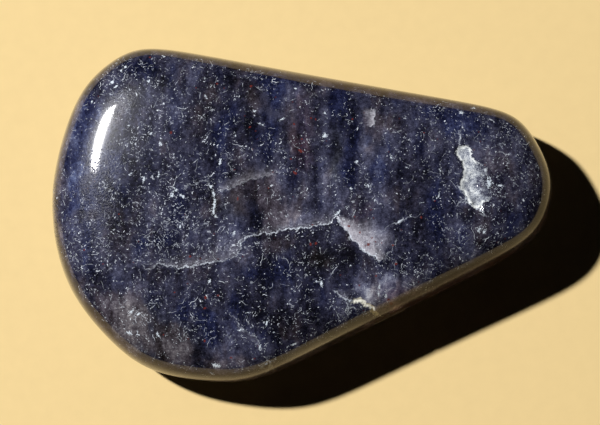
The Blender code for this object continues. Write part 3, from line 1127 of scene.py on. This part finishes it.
@dataclass(frozen=True)
class Painter:
    """Puts the marks onto the mesh: where it needs finer cells, how deep they cut, and what the finish reads."""

    view: PhotoView
    damage: Damage
    wander: float = 12.0
    wander_scale: float = 0.45
    wander_seed: int = 1
    reaches: tuple[float, ...] = (9.0, 5.0, 2.6)
    crown_edge: tuple[float, float] = (-0.35, 0.05)
    patch_edge: tuple[float, float] = (1.35, 0.45)
    flank_edge: tuple[float, float] = (0.78, 0.45)
    line_edge: tuple[float, float] = (4.5, 3.0)
    groove_edge: tuple[float, float] = (1.2, 0.1)
    chalk_edge: tuple[float, float] = (32.0, 2.0)
    lean_start: float = 0.8
    no_offset: float = 6.0
    bruise_reach: float = 6.0
    foot_shade: float = 0.3
    flank_flecks: float = -0.8
    # A painted rim reflection: the steep flanks get a warmer, slightly darker tone, as of the warm floor seen in them
    flank_tone: ToneMix = ToneMix(lift=-0.04, warmth=0.7)

    def facing(self, normals: np.ndarray) -> np.ndarray:
        """How much each vertex with such a normal belongs to the crown's side, from 0 to 1."""
        back = np.array(self.view.axes()[2])
        return smooth(normals @ back, *self.crown_edge)

    @staticmethod
    def share_of(face: Face, crown: np.ndarray) -> np.ndarray:
        """How much of a mark shows on each vertex, by its side.

        Args:
            face: The side that the mark is on.
            crown: How much each vertex belongs to the crown's side.

        Returns:
            The share for each vertex, from 0 to 1.
        """
        if face is Face.CROWN:
            return crown
        if face is Face.KEEL:
            return 1.0 - crown
        return np.ones(len(crown))

    def fracture_pixels(self, fracture: Fracture, points: np.ndarray, pixels: np.ndarray) -> np.ndarray:
        """Where each vertex is in the picture, followed back up the fracture's lean.

        Args:
            fracture: The fracture.
            points: Rows of vertices in millimetres.
            pixels: Where they are in the picture.

        Returns:
            Rows of pixels to compare with its trace.
        """
        top = points[:, 2].max()
        depth = smooth(points[:, 2], top * self.lean_start, 0.0)
        shift = np.array((fracture.lean[0], -fracture.lean[1])) * self.view.pixels_per_mm
        return pixels - depth[:, None] * shift

    def nearness(self, points: np.ndarray, normals: np.ndarray, with_bits: bool) -> np.ndarray:
        """How far each vertex is from the nearest small mark, in pixels.

        Args:
            points: Rows of vertices in millimetres.
            normals: Their normals.
            with_bits: Whether the small bits and the inside of the bruise count too.

        Returns:
            The distances.
        """
        pixels = self.view.to_pixels(points)
        crown = self.facing(normals)
        best = np.full(len(points), FAR)
        for fracture in FRACTURES:
            if fracture.line_width:
                away, _ = trace_offset(self.fracture_pixels(fracture, points, pixels), fracture.broken())
                shows = self.share_of(fracture.face, crown) > 0.1
                best = np.where(shows, np.minimum(best, abs(away)), best)
        outline = bruise_trace()
        away = abs(trace_offset(pixels, outline)[0])
        if with_bits:
            away[inside(pixels, outline[:, :2])] = 0.0
            for bit in WHITE_BITS + RED_BITS:
                reach = (bit.reach(pixels) - 1.0) * min(bit.half_x, bit.half_y)
                away = np.minimum(away, np.maximum(reach, 0.0))
        best = np.where(crown > 0.5, np.minimum(best, away), best)
        for bite in self.damage.chip():
            reach = (np.linalg.norm(points - np.array(bite.centre), axis=1) - bite.radii[0]) * self.view.pixels_per_mm
            best = np.minimum(best, np.maximum(reach, 0.0))
        return best


@dataclass(frozen=True)
class TumbledStone:
    """The stone: its form, its damage and its marks, dressed in its polish."""

    form: StoneForm
    painter: Painter
    finish: "Polish"
    name: str = "tumbled_stone"

    def build(self) -> bpy.types.Object:
        """Make the stone's object.

        Returns:
            The finished object, at the origin, with its material.
        """
        material = self.finish.make_material()
        tree = self.form.make_tree(material)
        cage = self.form.make_cage()
        sizes = self.form.sizes()
        reaches = self.painter.reaches
        for reach in reaches:
            shaped = evaluate(cage, tree, sizes)
            points = self.centred(mesh_points(shaped))
            near = self.painter.nearness(points, mesh_normals(shaped), reach > reaches[-1])
            cage = self.refined(cage, near < reach)
        mesh = evaluate(cage, tree, sizes)
        mesh.name = self.name
        self.finish_mesh(mesh)
        stone = bpy.data.objects.new(self.name, mesh)
        bpy.context.scene.collection.objects.link(stone)
        triangles = sum(face.loop_total - 2 for face in mesh.polygons)
        LOG.info("%s: %d vertices, %d triangles", stone.name, len(mesh.vertices), triangles)
        return stone

    @staticmethod
    def centred(points: np.ndarray) -> np.ndarray:
        """The points with the middle of their box over the origin."""
        middle = (points.min(axis=0) + points.max(axis=0)) / 2.0
        return points - np.array((middle[0], middle[1], 0.0))

    @staticmethod
    def refined(cage: bpy.types.Mesh, chosen: np.ndarray) -> bpy.types.Mesh:
        """Halve the cage's cells whose corners are all chosen.

        Args:
            cage: The cage.
            chosen: Which of its vertices are.

        Returns:
            The cage with finer cells there.
        """
        bm = bmesh.new()
        bm.from_mesh(cage)
        bm.verts.ensure_lookup_table()
        edges = [edge for edge in bm.edges if chosen[edge.verts[0].index] and chosen[edge.verts[1].index]]
        bmesh.ops.subdivide_edges(bm, edges=edges, cuts=1, use_grid_fill=True)
        finer = bpy.data.meshes.new("cage")
        bm.to_mesh(finer)
        bm.free()
        return finer

    def finish_mesh(self, mesh: bpy.types.Mesh) -> None:
        """Cut the damage and the grooves into the mesh, and paint what the finish reads.

        Args:
            mesh: The stone's mesh.
        """
        points = self.centred(mesh_points(mesh))
        normals = mesh_normals(mesh)
        fields = Marks(self.painter, points, normals)
        shaped = fields.cut(self.form)
        mesh.vertices.foreach_set("co", (shaped * MM).astype(np.float32).ravel())
        for field, values in fields.values.items():
            attribute = mesh.attributes.new(field.value, "FLOAT", "POINT")
            attribute.data.foreach_set("value", values.astype(np.float32))
        mesh.update()
        facing = mesh.attributes.new(FACING, "FLOAT_VECTOR", "POINT")
        facing.data.foreach_set("vector", mesh_normals(mesh).astype(np.float32).ravel())


class Marks:
    """The painted fields of one mesh."""

    def __init__(self, painter: Painter, points: np.ndarray, normals: np.ndarray) -> None:
        """Work out every field.

        Args:
            painter: What places the marks.
            points: Rows of vertices in millimetres.
            normals: Their normals.
        """
        self.painter = painter
        self.points = points
        self.normals = normals
        self.crown = painter.facing(normals)
        self.pixels = painter.view.to_pixels(points)
        self.values = {field: np.zeros(len(points)) for field in Field}
        self.values[Field.OFFSET] += painter.no_offset
        self.groove = np.zeros(len(points))
        self.paint_patches()
        self.paint_fractures()
        self.paint_bits()
        self.paint_bruise()

    def wandered(self) -> np.ndarray:
        """The pixels, moved about a little, so that a patch's outline isn't an oval.

        Returns:
            Rows of pixels.
        """
        scale = self.painter.wander_scale
        noise.seed_set(self.painter.wander_seed)
        moved = [noise.noise_vector(Vector(point) * scale) for point in self.points]
        return self.pixels + np.array(moved)[:, :2] * self.painter.wander

    def paint_patches(self) -> None:
        """The soft tones and the fleck and rust densities."""
        painter = self.painter
        pixels = self.wandered()
        for patches, shows in ((CROWN_PATCHES, self.crown), (KEEL_PATCHES, 1.0 - self.crown)):
            for tone, ovals in patches.items():
                for oval in ovals:
                    self.tint(tone.value, oval.share(pixels, painter.patch_edge) * shows)
        for field, ovals in DENSITIES.items():
            for oval in ovals:
                self.values[field] += oval.share(pixels) * self.crown
        # The steep flanks get fewer flecks, their wear, and a painted rim reflection tone
        flank = smooth(self.normals @ np.array(painter.view.axes()[2]), *painter.flank_edge) * self.crown
        self.values[Field.WEAR] *= flank
        self.values[Field.FLECKS] += flank * painter.flank_flecks
        self.tint(painter.flank_tone, flank)

    def tint(self, mix: ToneMix, share: np.ndarray) -> None:
        """Add a tone.

        Args:
            mix: What it changes.
            share: How much of it each vertex gets.
        """
        self.values[Field.LIFT] += share * mix.lift
        self.values[Field.WARMTH] += share * mix.warmth
        self.values[Field.ROSE] += share * mix.rose
        self.values[Field.OLIVE] += share * mix.olive

    def paint_fractures(self) -> None:
        """The crack lines, their grooves and their veils."""
        painter = self.painter
        nearest = np.full(len(self.points), FAR)
        for fracture in FRACTURES:
            trace = fracture.broken()
            pixels = painter.fracture_pixels(fracture, self.points, self.pixels)
            shows = painter.share_of(fracture.face, self.crown)
            offset, bright = trace_offset(pixels, trace)
            away = abs(offset)
            if fracture.line_width:
                share = away / fracture.line_width
                line = bright * smooth(share, *painter.line_edge) * shows
                closest = (share < nearest) & (line > 0.0)
                nearest[closest] = share[closest]
                self.values[Field.OFFSET][closest] = (offset / fracture.line_width)[closest]
                self.values[Field.LINE][closest] = line[closest]
                self.values[Field.CREAM][closest] = fracture.cream
                groove = bright * smooth(share, *painter.groove_edge) * shows * fracture.groove
                self.groove = np.maximum(self.groove, groove)
            if fracture.back:
                corners = (trace[-1][:2], *fracture.back, trace[0][:2])
                back = ragged(tuple((*corner, 0.0) for corner in corners), fracture.raggedness, fracture.name)
                within = inside(pixels, np.vstack((trace[:, :2], back[1:-1, :2])))
                behind = abs(trace_offset(pixels, back)[0])
                veil = within * behind / (behind + away + 1e-6) * fracture.veil * shows
                if fracture.veil > 0.0:
                    self.values[Field.VEIL] = np.maximum(self.values[Field.VEIL], veil)
                else:
                    self.values[Field.LIFT] += veil * painter.foot_shade

    def paint_bits(self) -> None:
        """The small white and rust-red bits, each as how far inside it a vertex is."""
        for field, bits in ((Field.WHITE_BIT, WHITE_BITS), (Field.RED_BIT, RED_BITS)):
            deepest = np.full(len(self.points), -1.0)
            for bit in bits:
                deepest = np.maximum(deepest, 1.0 - bit.reach(self.pixels))
            self.values[field] = np.where(self.crown > 0.5, deepest, -1.0)

    def paint_bruise(self) -> None:
        """How far inside the bruise a vertex is, in tenths of a millimetre, and less than 0 outside it.

        The chalk runs from 1 at the bruise's broken rim to 0 where it fades out.
        """
        outline = bruise_trace()
        reach = self.painter.bruise_reach
        depth = abs(trace_offset(self.pixels, outline)[0]) / self.painter.view.pixels_per_mm * 10.0
        signed = np.where(inside(self.pixels, outline[:, :2]), depth, -depth)
        self.values[Field.BRUISE] = np.where(self.crown > 0.9, np.clip(signed, -reach, reach), -reach)
        rim = np.array([(*corner, 0.0) for corner in BRUISE_RIM])
        self.values[Field.CHALK] = smooth(abs(trace_offset(self.pixels, rim)[0]), *self.painter.chalk_edge)

    def cut(self, form: StoneForm) -> np.ndarray:
        """Cut the bites and grooves.

        Args:
            form: The form that they are cut into.

        Returns:
            The moved vertices in millimetres.
        """
        damage = self.painter.damage
        shaped = self.points.copy()
        down = np.tile(np.array((0.0, 0.0, -1.0)), (len(shaped), 1))
        upper = self.normals[:, 2] > 0.3
        for bite in damage.bruise(form):
            pressed = bite.press(shaped, down)
            shaped[upper] = pressed[upper]
        inward = -self.normals * np.array((1.0, 1.0, 0.0))
        length = np.maximum(np.linalg.norm(inward, axis=1), 1e-6)[:, None]
        before = shaped.copy()
        for bite in damage.chip():
            shaped = bite.press(shaped, inward / length)
        self.values[Field.CHIP] = np.linalg.norm(shaped - before, axis=1)
        rough = smooth(self.values[Field.BRUISE], *damage.bruise_edge)
        rough = rough + smooth(self.values[Field.CHIP], *damage.chip_edge)
        sunk = self.groove + rough * (0.5 + damage.crumbs(self.points)) * damage.crumb
        return shaped - self.normals * sunk[:, None]


@dataclass(frozen=True)
class Rods:
    """One kind of pale fleck: how many there are per millimetre, their size, how many show and how bright they are."""

    per_mm: float
    radius: float
    half_length: float
    shown: float
    strength: float = 1.0
    curved: bool = False


class Fleck(Enum):
    """The kinds of pale flecks, from dust to long threads."""

    DUST = Rods(7.5, 0.038, 0.050, 0.16, strength=0.85)
    SPLINTER = Rods(3.4, 0.031, 0.12, 0.14)
    SHARD = Rods(1.0, 0.065, 0.18, 0.10)
    FIBRE = Rods(2.0, 0.022, 0.34, 0.15, strength=0.85, curved=True)
    THREAD = Rods(1.2, 0.019, 0.65, 0.15, strength=0.8, curved=True)


class Grain(Enum):
    """The noises that the finish is mixed from: grains per millimetre, detail and warp."""

    ZONE = (0.34, 2.0, 0.0)
    FLECK_ZONE = (0.45, 3.0, 0.0)
    HUE = (0.6, 3.0, 0.4)
    POLISH = (0.8, 3.0, 0.0)
    STREAK = (1.3, 3.0, 0.0)
    FIBRE_BEND = (1.5, 1.0, 0.0)
    CLUMP = (1.6, 2.0, 0.0)
    CLOUD = (2.2, 5.0, 0.0)
    SWAY = (2.6, 2.0, 0.0)
    GAP = (3.0, 2.0, 0.0)
    FUZZ = (3.2, 3.0, 0.0)
    FLECK_BEND = (4.5, 1.0, 0.0)
    RAG = (5.5, 3.0, 0.0)
    PIT = (7.0, 3.0, 0.0)
    SPARKLE = (7.5, 2.0, 0.0)
    SALT = (9.0, 2.0, 0.0)
    CRUMB = (12.0, 2.0, 0.0)


class Ground:
    """What the finish reads at each point of the stone: its place, the way it faces and what is painted there."""

    def __init__(self, sheet: NodeSheet, streak_turn: float, streak_size: tuple[float, float, float]) -> None:
        """Add the nodes that read it.

        Args:
            sheet: The material's tree.
            streak_turn: How far the streaks are turned, in degrees.
            streak_size: How far they are drawn out along each axis.
        """
        self.sheet = sheet
        self.place = sheet.vector("SCALE", sheet.node("ShaderNodeTexCoord").output("Object"), 1.0 / MM)
        self.streaks = sheet.node(
            "ShaderNodeMapping", {"vector_type": "TEXTURE"},
            {"Vector": self.place, "Rotation": (0.0, 0.0, -math.radians(streak_turn)), "Scale": streak_size},
        )
        self.facing = self._painted(FACING).output("Vector")
        self.fields = {field: self._painted(field.value).output("Fac") for field in Field}

    def _painted(self, name: str) -> Wire:
        """One attribute of the mesh."""
        return self.sheet.node("ShaderNodeAttribute", {"attribute_name": name})

    def __getitem__(self, field: Field) -> Wire:
        """One painted field."""
        return self.fields[field]

    def noise(self, grain: Grain, streaked: bool = False) -> Wire:
        """A noise from 0 to 1.

        Args:
            grain: Which noise.
            streaked: Whether it is drawn out along the streaks.

        Returns:
            Its value; the same node's colour is another output.
        """
        scale, detail, warp = grain.value
        place = self.streaks if streaked else self.place
        inputs = {"Vector": place, "Scale": scale, "Detail": detail, "Roughness": 0.55, "Distortion": warp}
        return self.sheet.node("ShaderNodeTexNoise", {}, inputs)

    def swing(self, grain: Grain, streaked: bool = False) -> Wire:
        """A noise from -0.5 to 0.5."""
        return self.noise(grain, streaked) - 0.5

    def bent(self, grain: Grain, amount: float) -> Wire:
        """The place, moved about, so that straight rods in it come out curved."""
        away = self.sheet.vector("SUBTRACT", self.noise(grain).output("Color"), (0.5, 0.5, 0.5))
        return self.sheet.vector("ADD", self.place, self.sheet.vector("SCALE", away, amount))


@dataclass(frozen=True)
class Polish:
    """The iolite's polished surface: a dark blue-violet body full of fine flecks, with pale cracks and a bruise."""

    name: str = "iolite_polish"
    streak_turn: float = 9.5
    streak_size: tuple[float, float, float] = (1.0, 2.6, 1.4)
    refraction: float = 1.54
    polish_roughness: float = 0.24
    roughness_swing: float = 0.06
    gloss_roughness: float = 0.05
    haze: float = 0.04
    broken_roughness: float = 0.62
    pit_strength: float = 0.16
    pit_depth: float = 0.05
    lightness: float = 0.27
    fleck_bend: float = 0.34
    fibre_bend: float = 0.75
    rust_per_mm: float = 1.5
    cool: tuple[Colour, ...] = (
        screen_colour(8, 9, 22), screen_colour(24, 27, 52), screen_colour(46, 51, 82),
        screen_colour(79, 88, 121), screen_colour(120, 131, 162), screen_colour(180, 190, 212),
    )
    plain: tuple[Colour, ...] = (
        screen_colour(10, 10, 18), screen_colour(32, 32, 47), screen_colour(56, 57, 76),
        screen_colour(88, 90, 113), screen_colour(128, 132, 152), screen_colour(184, 190, 205),
    )
    warm: tuple[Colour, ...] = (
        screen_colour(14, 11, 14), screen_colour(39, 34, 40), screen_colour(63, 58, 68),
        screen_colour(97, 92, 103), screen_colour(138, 132, 141), screen_colour(190, 187, 192),
    )
    # The wear tint is a painted reflection: it browns the flanks as the warm floor seen in them would
    tints: tuple[tuple[Field, float, Colour, str], ...] = (
        (Field.ROSE, 0.5, screen_colour(255, 205, 215), "MULTIPLY"),
        (Field.OLIVE, 0.6, screen_colour(235, 240, 190), "MULTIPLY"),
        (Field.WEAR, 0.15, screen_colour(112, 66, 46), "MIX"),
    )
    milk: tuple[Colour, Colour] = (screen_colour(144, 141, 152), screen_colour(180, 178, 187))
    fleck: Colour = screen_colour(226, 233, 243)
    rust: Colour = screen_colour(70, 32, 33)
    crack: Colour = screen_colour(204, 211, 222)
    cream: Colour = screen_colour(240, 238, 224)
    white_bit: Colour = screen_colour(212, 222, 232)
    red_bit: Colour = screen_colour(98, 40, 36)
    chip: Colour = screen_colour(96, 80, 70)
    bruise: tuple[tuple[float, Colour], ...] = (
        (0.0, screen_colour(84, 88, 106)), (0.45, screen_colour(158, 163, 172)), (1.0, screen_colour(232, 235, 234)),
    )

    def make_material(self) -> bpy.types.Material:
        """The finish as a material.

        Returns:
            The material.
        """
        material = bpy.data.materials.new(self.name)
        material.use_nodes = True
        sheet = NodeSheet(material.node_tree)
        ground = Ground(sheet, self.streak_turn, self.streak_size)
        colour, broken = self._breaks(ground, self._flecked(ground, self._body(ground)))
        roughness = self.polish_roughness + (self.broken_roughness - self.polish_roughness) * broken
        roughness = roughness + self.roughness_swing * ground.swing(Grain.POLISH)
        pits = ground.noise(Grain.PIT) * (0.4 + broken + ground[Field.SCUFF] * 4.0)
        inputs = {"Strength": self.pit_strength, "Distance": self.pit_depth * MM, "Height": pits}
        bump = sheet.node("ShaderNodeBump", {}, inputs)
        worn = (ground.noise(Grain.SPARKLE) * 1.6 + ground[Field.SCUFF] * 0.5).step(1.08, 1.13)
        gloss = (1.0 - broken.step(0.1, 0.6)) * (1.0 - worn) * (1.0 - ground[Field.WEAR]) * (1.0 - ground[Field.DULL])
        shader = sheet.node("ShaderNodeBsdfPrincipled", {}, {
            "Base Color": colour, "Roughness": roughness, "IOR": self.refraction, "Normal": bump,
            "Specular IOR Level": self.haze,
            "Coat Weight": gloss, "Coat Roughness": self.gloss_roughness, "Coat IOR": self.refraction,
        })
        sheet.node("ShaderNodeOutputMaterial", {}, {"Surface": shader})
        return material

    def _body(self, ground: Ground) -> Wire:
        """The body colour with its zones, streaks, grain and veils.

        Args:
            ground: What the finish reads.

        Returns:
            The colour.
        """
        sheet = ground.sheet
        streak = ground.swing(Grain.STREAK, True)
        fuzz = ground.swing(Grain.FUZZ)
        salt = ground.swing(Grain.SALT)
        mottle = ground.swing(Grain.ZONE, True) * 0.75 + streak * 0.75 + fuzz * 0.60 + salt * 0.50
        lightness = self.lightness + mottle + ground[Field.LIFT] * (0.80 + streak)
        hue = ground.swing(Grain.HUE, True) * 2.8 + streak * 1.2
        warmth = ground[Field.WARMTH] * 0.8 + hue
        cool, plain, warm = (self._ramp(sheet, lightness, stops) for stops in (self.cool, self.plain, self.warm))
        colour = sheet.mix((-warmth).step(0.0, 0.8), plain, cool)
        colour = sheet.mix(warmth.step(0.0, 0.8), colour, warm)
        for field, share, tint, way in self.tints:
            colour = sheet.mix(ground[field] * share, colour, tint, way)
        veil = ground[Field.VEIL] * (1.05 + fuzz * 0.9 + streak * 1.2 + salt * 0.6)
        milk = sheet.mix((fuzz * 1.6 + salt * 1.6 + 0.5).step(0.0, 1.0), *self.milk)
        return sheet.mix(veil.step(0.0, 1.0), colour, milk)

    @staticmethod
    def _ramp(sheet: NodeSheet, lightness: Wire, colours: tuple[Colour, ...]) -> Wire:
        """A colour from dark to light.

        Args:
            sheet: The material's tree.
            lightness: How light it is, from 0 to 1.
            colours: Its colours from dark to light, evenly spread.

        Returns:
            The colour.
        """
        last = len(colours) - 1
        stops = [(number / last, colour) for number, colour in enumerate(colours)]
        return sheet.node("ShaderNodeValToRGB", {"stops": stops}, {0: lightness})

    def _flecked(self, ground: Ground, colour: Wire) -> Wire:
        """The pale flecks, fine fibres and rust specks.

        Args:
            ground: What the finish reads.
            colour: The body colour.

        Returns:
            The flecked colour.
        """
        sheet = ground.sheet
        patchy = ground.swing(Grain.FLECK_ZONE) * 0.5 + ground.swing(Grain.CLUMP) * 0.4
        density = ground[Field.FLECKS] * 0.13 + patchy
        bent = ground.bent(Grain.FLECK_BEND, self.fleck_bend)
        curved = ground.bent(Grain.FIBRE_BEND, self.fibre_bend)
        flecks = None
        for kind in Fleck:
            rods = self._rods(ground, curved if kind.value.curved else bent, density, kind.value)
            flecks = rods if flecks is None else flecks.most(rods)
        colour = sheet.mix(flecks.least(1.0), colour, self.fleck)
        cells = self._cells(sheet, ground.place, self.rust_per_mm)
        chance = sheet.node("ShaderNodeSeparateColor", {}, {0: cells.output("Color")})
        rust = cells.step(0.16, 0.06) * (chance + ground[Field.RUST] * 0.4).step(0.88, 0.94)
        return sheet.mix(rust * 0.7, colour, self.rust)

    @staticmethod
    def _cells(sheet: NodeSheet, place: Wire, per_mm: float) -> Wire:
        """The distance to the nearest of scattered points, with so many per millimetre."""
        return sheet.node("ShaderNodeTexVoronoi", {}, {"Vector": place, "Scale": per_mm})

    def _rods(self, ground: Ground, place: Wire, density: Wire, rods: Rods) -> Wire:
        """Short rods that lie in the surface round scattered points, each with its own turn and brightness.

        Args:
            ground: What the finish reads.
            place: The place on the stone, bent.
            density: How much larger the share that shows is here, around 0.
            rods: Their kind.

        Returns:
            Their brightness, from 0 to 1.
        """
        sheet = ground.sheet
        cells = self._cells(sheet, place, rods.per_mm)
        middle = cells.output("Position")
        away = sheet.vector("SUBTRACT", place, middle)
        lean = sheet.vector("SUBTRACT", cells.output("Color"), (0.5, 0.5, 0.5))
        across = sheet.vector("NORMALIZE", sheet.vector("CROSS_PRODUCT", lean, ground.facing), (0.0, 0.0, 0.0))
        ahead = sheet.vector("CROSS_PRODUCT", ground.facing, across)
        aside = sheet.vector("DOT_PRODUCT", away, across, 1).math("ABSOLUTE")
        along = sheet.vector("DOT_PRODUCT", away, ahead, 1).math("ABSOLUTE")
        chance = sheet.node("ShaderNodeTexWhiteNoise", {"noise_dimensions": "3D"}, {"Vector": middle})
        strength = sheet.node("ShaderNodeSeparateColor", {}, {0: chance.output("Color")}, 1)
        bright = (chance + density).step(1.0 - rods.shown, 1.1 - rods.shown) * (strength * strength * 0.85 + 0.25)
        body = aside.step(rods.radius, rods.radius * 0.3) * along.step(rods.half_length, rods.half_length * 0.5)
        return body * bright * rods.strength

    def _breaks(self, ground: Ground, colour: Wire) -> tuple[Wire, Wire]:
        """The cracks, bits, bruise and chip.

        Args:
            ground: What the finish reads.
            colour: The colour so far.

        Returns:
            The colour, and how broken the surface is, from 0 to 1.
        """
        sheet = ground.sheet
        rag = ground.swing(Grain.RAG)
        fine = ground.swing(Grain.CRUMB)
        cream = ground[Field.CREAM]
        wander = (ground.swing(Grain.SWAY) * 6.0 + rag * 4.0 + fine * 3.0) * (1.0 - cream * 0.6)
        aside = (ground[Field.OFFSET] + wander).math("ABSOLUTE")
        solid = ground.noise(Grain.GAP).step(0.30, 0.60) * 0.7 + fine * 1.6 + 0.3 + cream * 0.5
        line = aside.step(1.3, 0.2) * ground[Field.LINE] * solid.most(0.0).least(1.0)
        colour = sheet.mix(line, colour, sheet.mix(cream, self.crack, self.cream))
        white = (ground[Field.WHITE_BIT] + rag * 3.6 + fine * 3.0).step(0.0, 0.7)
        colour = sheet.mix(white * 0.85, colour, self.white_bit)
        red = (ground[Field.RED_BIT] + rag * 1.5 + fine).step(-0.15, 0.4)
        colour = sheet.mix(red * 0.9, colour, self.red_bit)
        edge = (ground[Field.BRUISE] + rag * 3.0 + fine * 2.0).step(-0.3, 0.5)
        cloud = ground.swing(Grain.CLOUD)
        near = ground[Field.CHALK]
        bruise = edge * (near * 1.5 + cloud * 2.4 + fine * 1.2 - 0.12).step(-0.1, 0.9)
        border = (ground[Field.BRUISE] - 0.8).math("ABSOLUTE").step(1.6, 0.1) * near
        chalk = cloud * 1.8 + fine * 2.0 + border * 0.60 + near * 0.62 - 0.10
        scuffed = sheet.node("ShaderNodeValToRGB", {"stops": self.bruise}, {0: chalk})
        colour = sheet.mix(bruise * 0.95, colour, scuffed)
        chip = ground[Field.CHIP].step(0.0, 0.08)
        colour = sheet.mix(chip * 0.5, colour, self.chip)
        return colour, bruise.most(chip * 0.7).most(line * 0.7).most(white * 0.6)


@dataclass(frozen=True)
class Studio:
    """The plain floor, the softbox and the faint light from all round, in millimetres and degrees."""

    view: PhotoView
    light_bearing: float = 26.0
    light_elevation: float = 54.0
    light_distance: float = 700.0
    light_size: float = 34.0
    light_power: float = 7.0
    surround: float = 0.003
    surround_colour: Colour = (0.86, 0.92, 1.0, 1.0)
    floor_size: float = 3000.0
    floor_colour: Colour = (0.78, 0.58, 0.27, 1.0)
    floor_shade: float = 0.93
    floor_drop: float = 0.02
    tooth_per_m: float = 900.0

    def make_floor(self) -> bpy.types.Object:
        """The plain pale floor that the stone lies on.

        Returns:
            The floor.
        """
        bm = bmesh.new()
        bmesh.ops.create_grid(bm, x_segments=1, y_segments=1, size=self.floor_size * MM / 2.0)
        mesh = bpy.data.meshes.new("floor")
        bm.to_mesh(mesh)
        bm.free()
        mesh.transform(Matrix.Translation((0.0, 0.0, -self.floor_drop * MM)))
        floor = bpy.data.objects.new("floor", mesh)
        material = bpy.data.materials.new("floor_paper")
        material.use_nodes = True
        sheet = NodeSheet(material.node_tree)
        place = sheet.node("ShaderNodeTexCoord").output("Object")
        tooth = sheet.node("ShaderNodeTexNoise", {}, {"Vector": place, "Scale": self.tooth_per_m, "Detail": 4.0})
        darker = tuple(part * self.floor_shade for part in self.floor_colour[:3]) + (1.0,)
        shade = sheet.mix(tooth, self.floor_colour, darker)
        shader = sheet.node("ShaderNodeBsdfPrincipled", {}, {"Base Color": shade, "Roughness": 0.9})
        sheet.node("ShaderNodeOutputMaterial", {}, {"Surface": shader})
        mesh.materials.append(material)
        bpy.context.scene.collection.objects.link(floor)
        return floor

    def make_lights(self) -> None:
        """The softbox from the picture's upper left, and the faint surround."""
        right, _, _ = self.view.axes()
        turn = math.radians(self.view.roll)
        away = Vector((math.sin(turn), math.cos(turn), 0.0))
        bearing = math.radians(self.light_bearing)
        height = math.radians(self.light_elevation)
        level = -right * math.cos(bearing) + away * math.sin(bearing)
        towards = level * math.cos(height) + Vector((0.0, 0.0, math.sin(height)))
        lamp = bpy.data.lights.new("softbox", "AREA")
        lamp.shape = "DISK"
        lamp.size = self.light_size * MM
        lamp.energy = self.light_power
        softbox = bpy.data.objects.new("softbox", lamp)
        softbox.location = towards * self.light_distance * MM
        softbox.rotation_mode = "QUATERNION"
        softbox.rotation_quaternion = towards.to_track_quat("Z", "Y")
        bpy.context.scene.collection.objects.link(softbox)
        world = bpy.data.worlds.new("surround")
        world.use_nodes = True
        sheet = NodeSheet(world.node_tree)
        glow = sheet.node("ShaderNodeBackground", {}, {"Color": self.surround_colour, "Strength": self.surround})
        sheet.node("ShaderNodeOutputWorld", {}, {"Surface": glow})
        bpy.context.scene.world = world


def main() -> None:
    """Build the stone, its floor, its light and its camera."""
    logging.basicConfig(level=logging.INFO, format="%(name)s: %(message)s")
    bpy.context.scene.view_settings.view_transform = "Standard"
    view = PhotoView()
    studio = Studio(view)
    studio.make_floor()
    studio.make_lights()
    view.make_camera()
    stone = TumbledStone(StoneForm(), Painter(view, Damage()), Polish()).build()
    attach(stone, "root")
    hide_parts("iolite_stone")


if __name__ == "__main__":
    main()
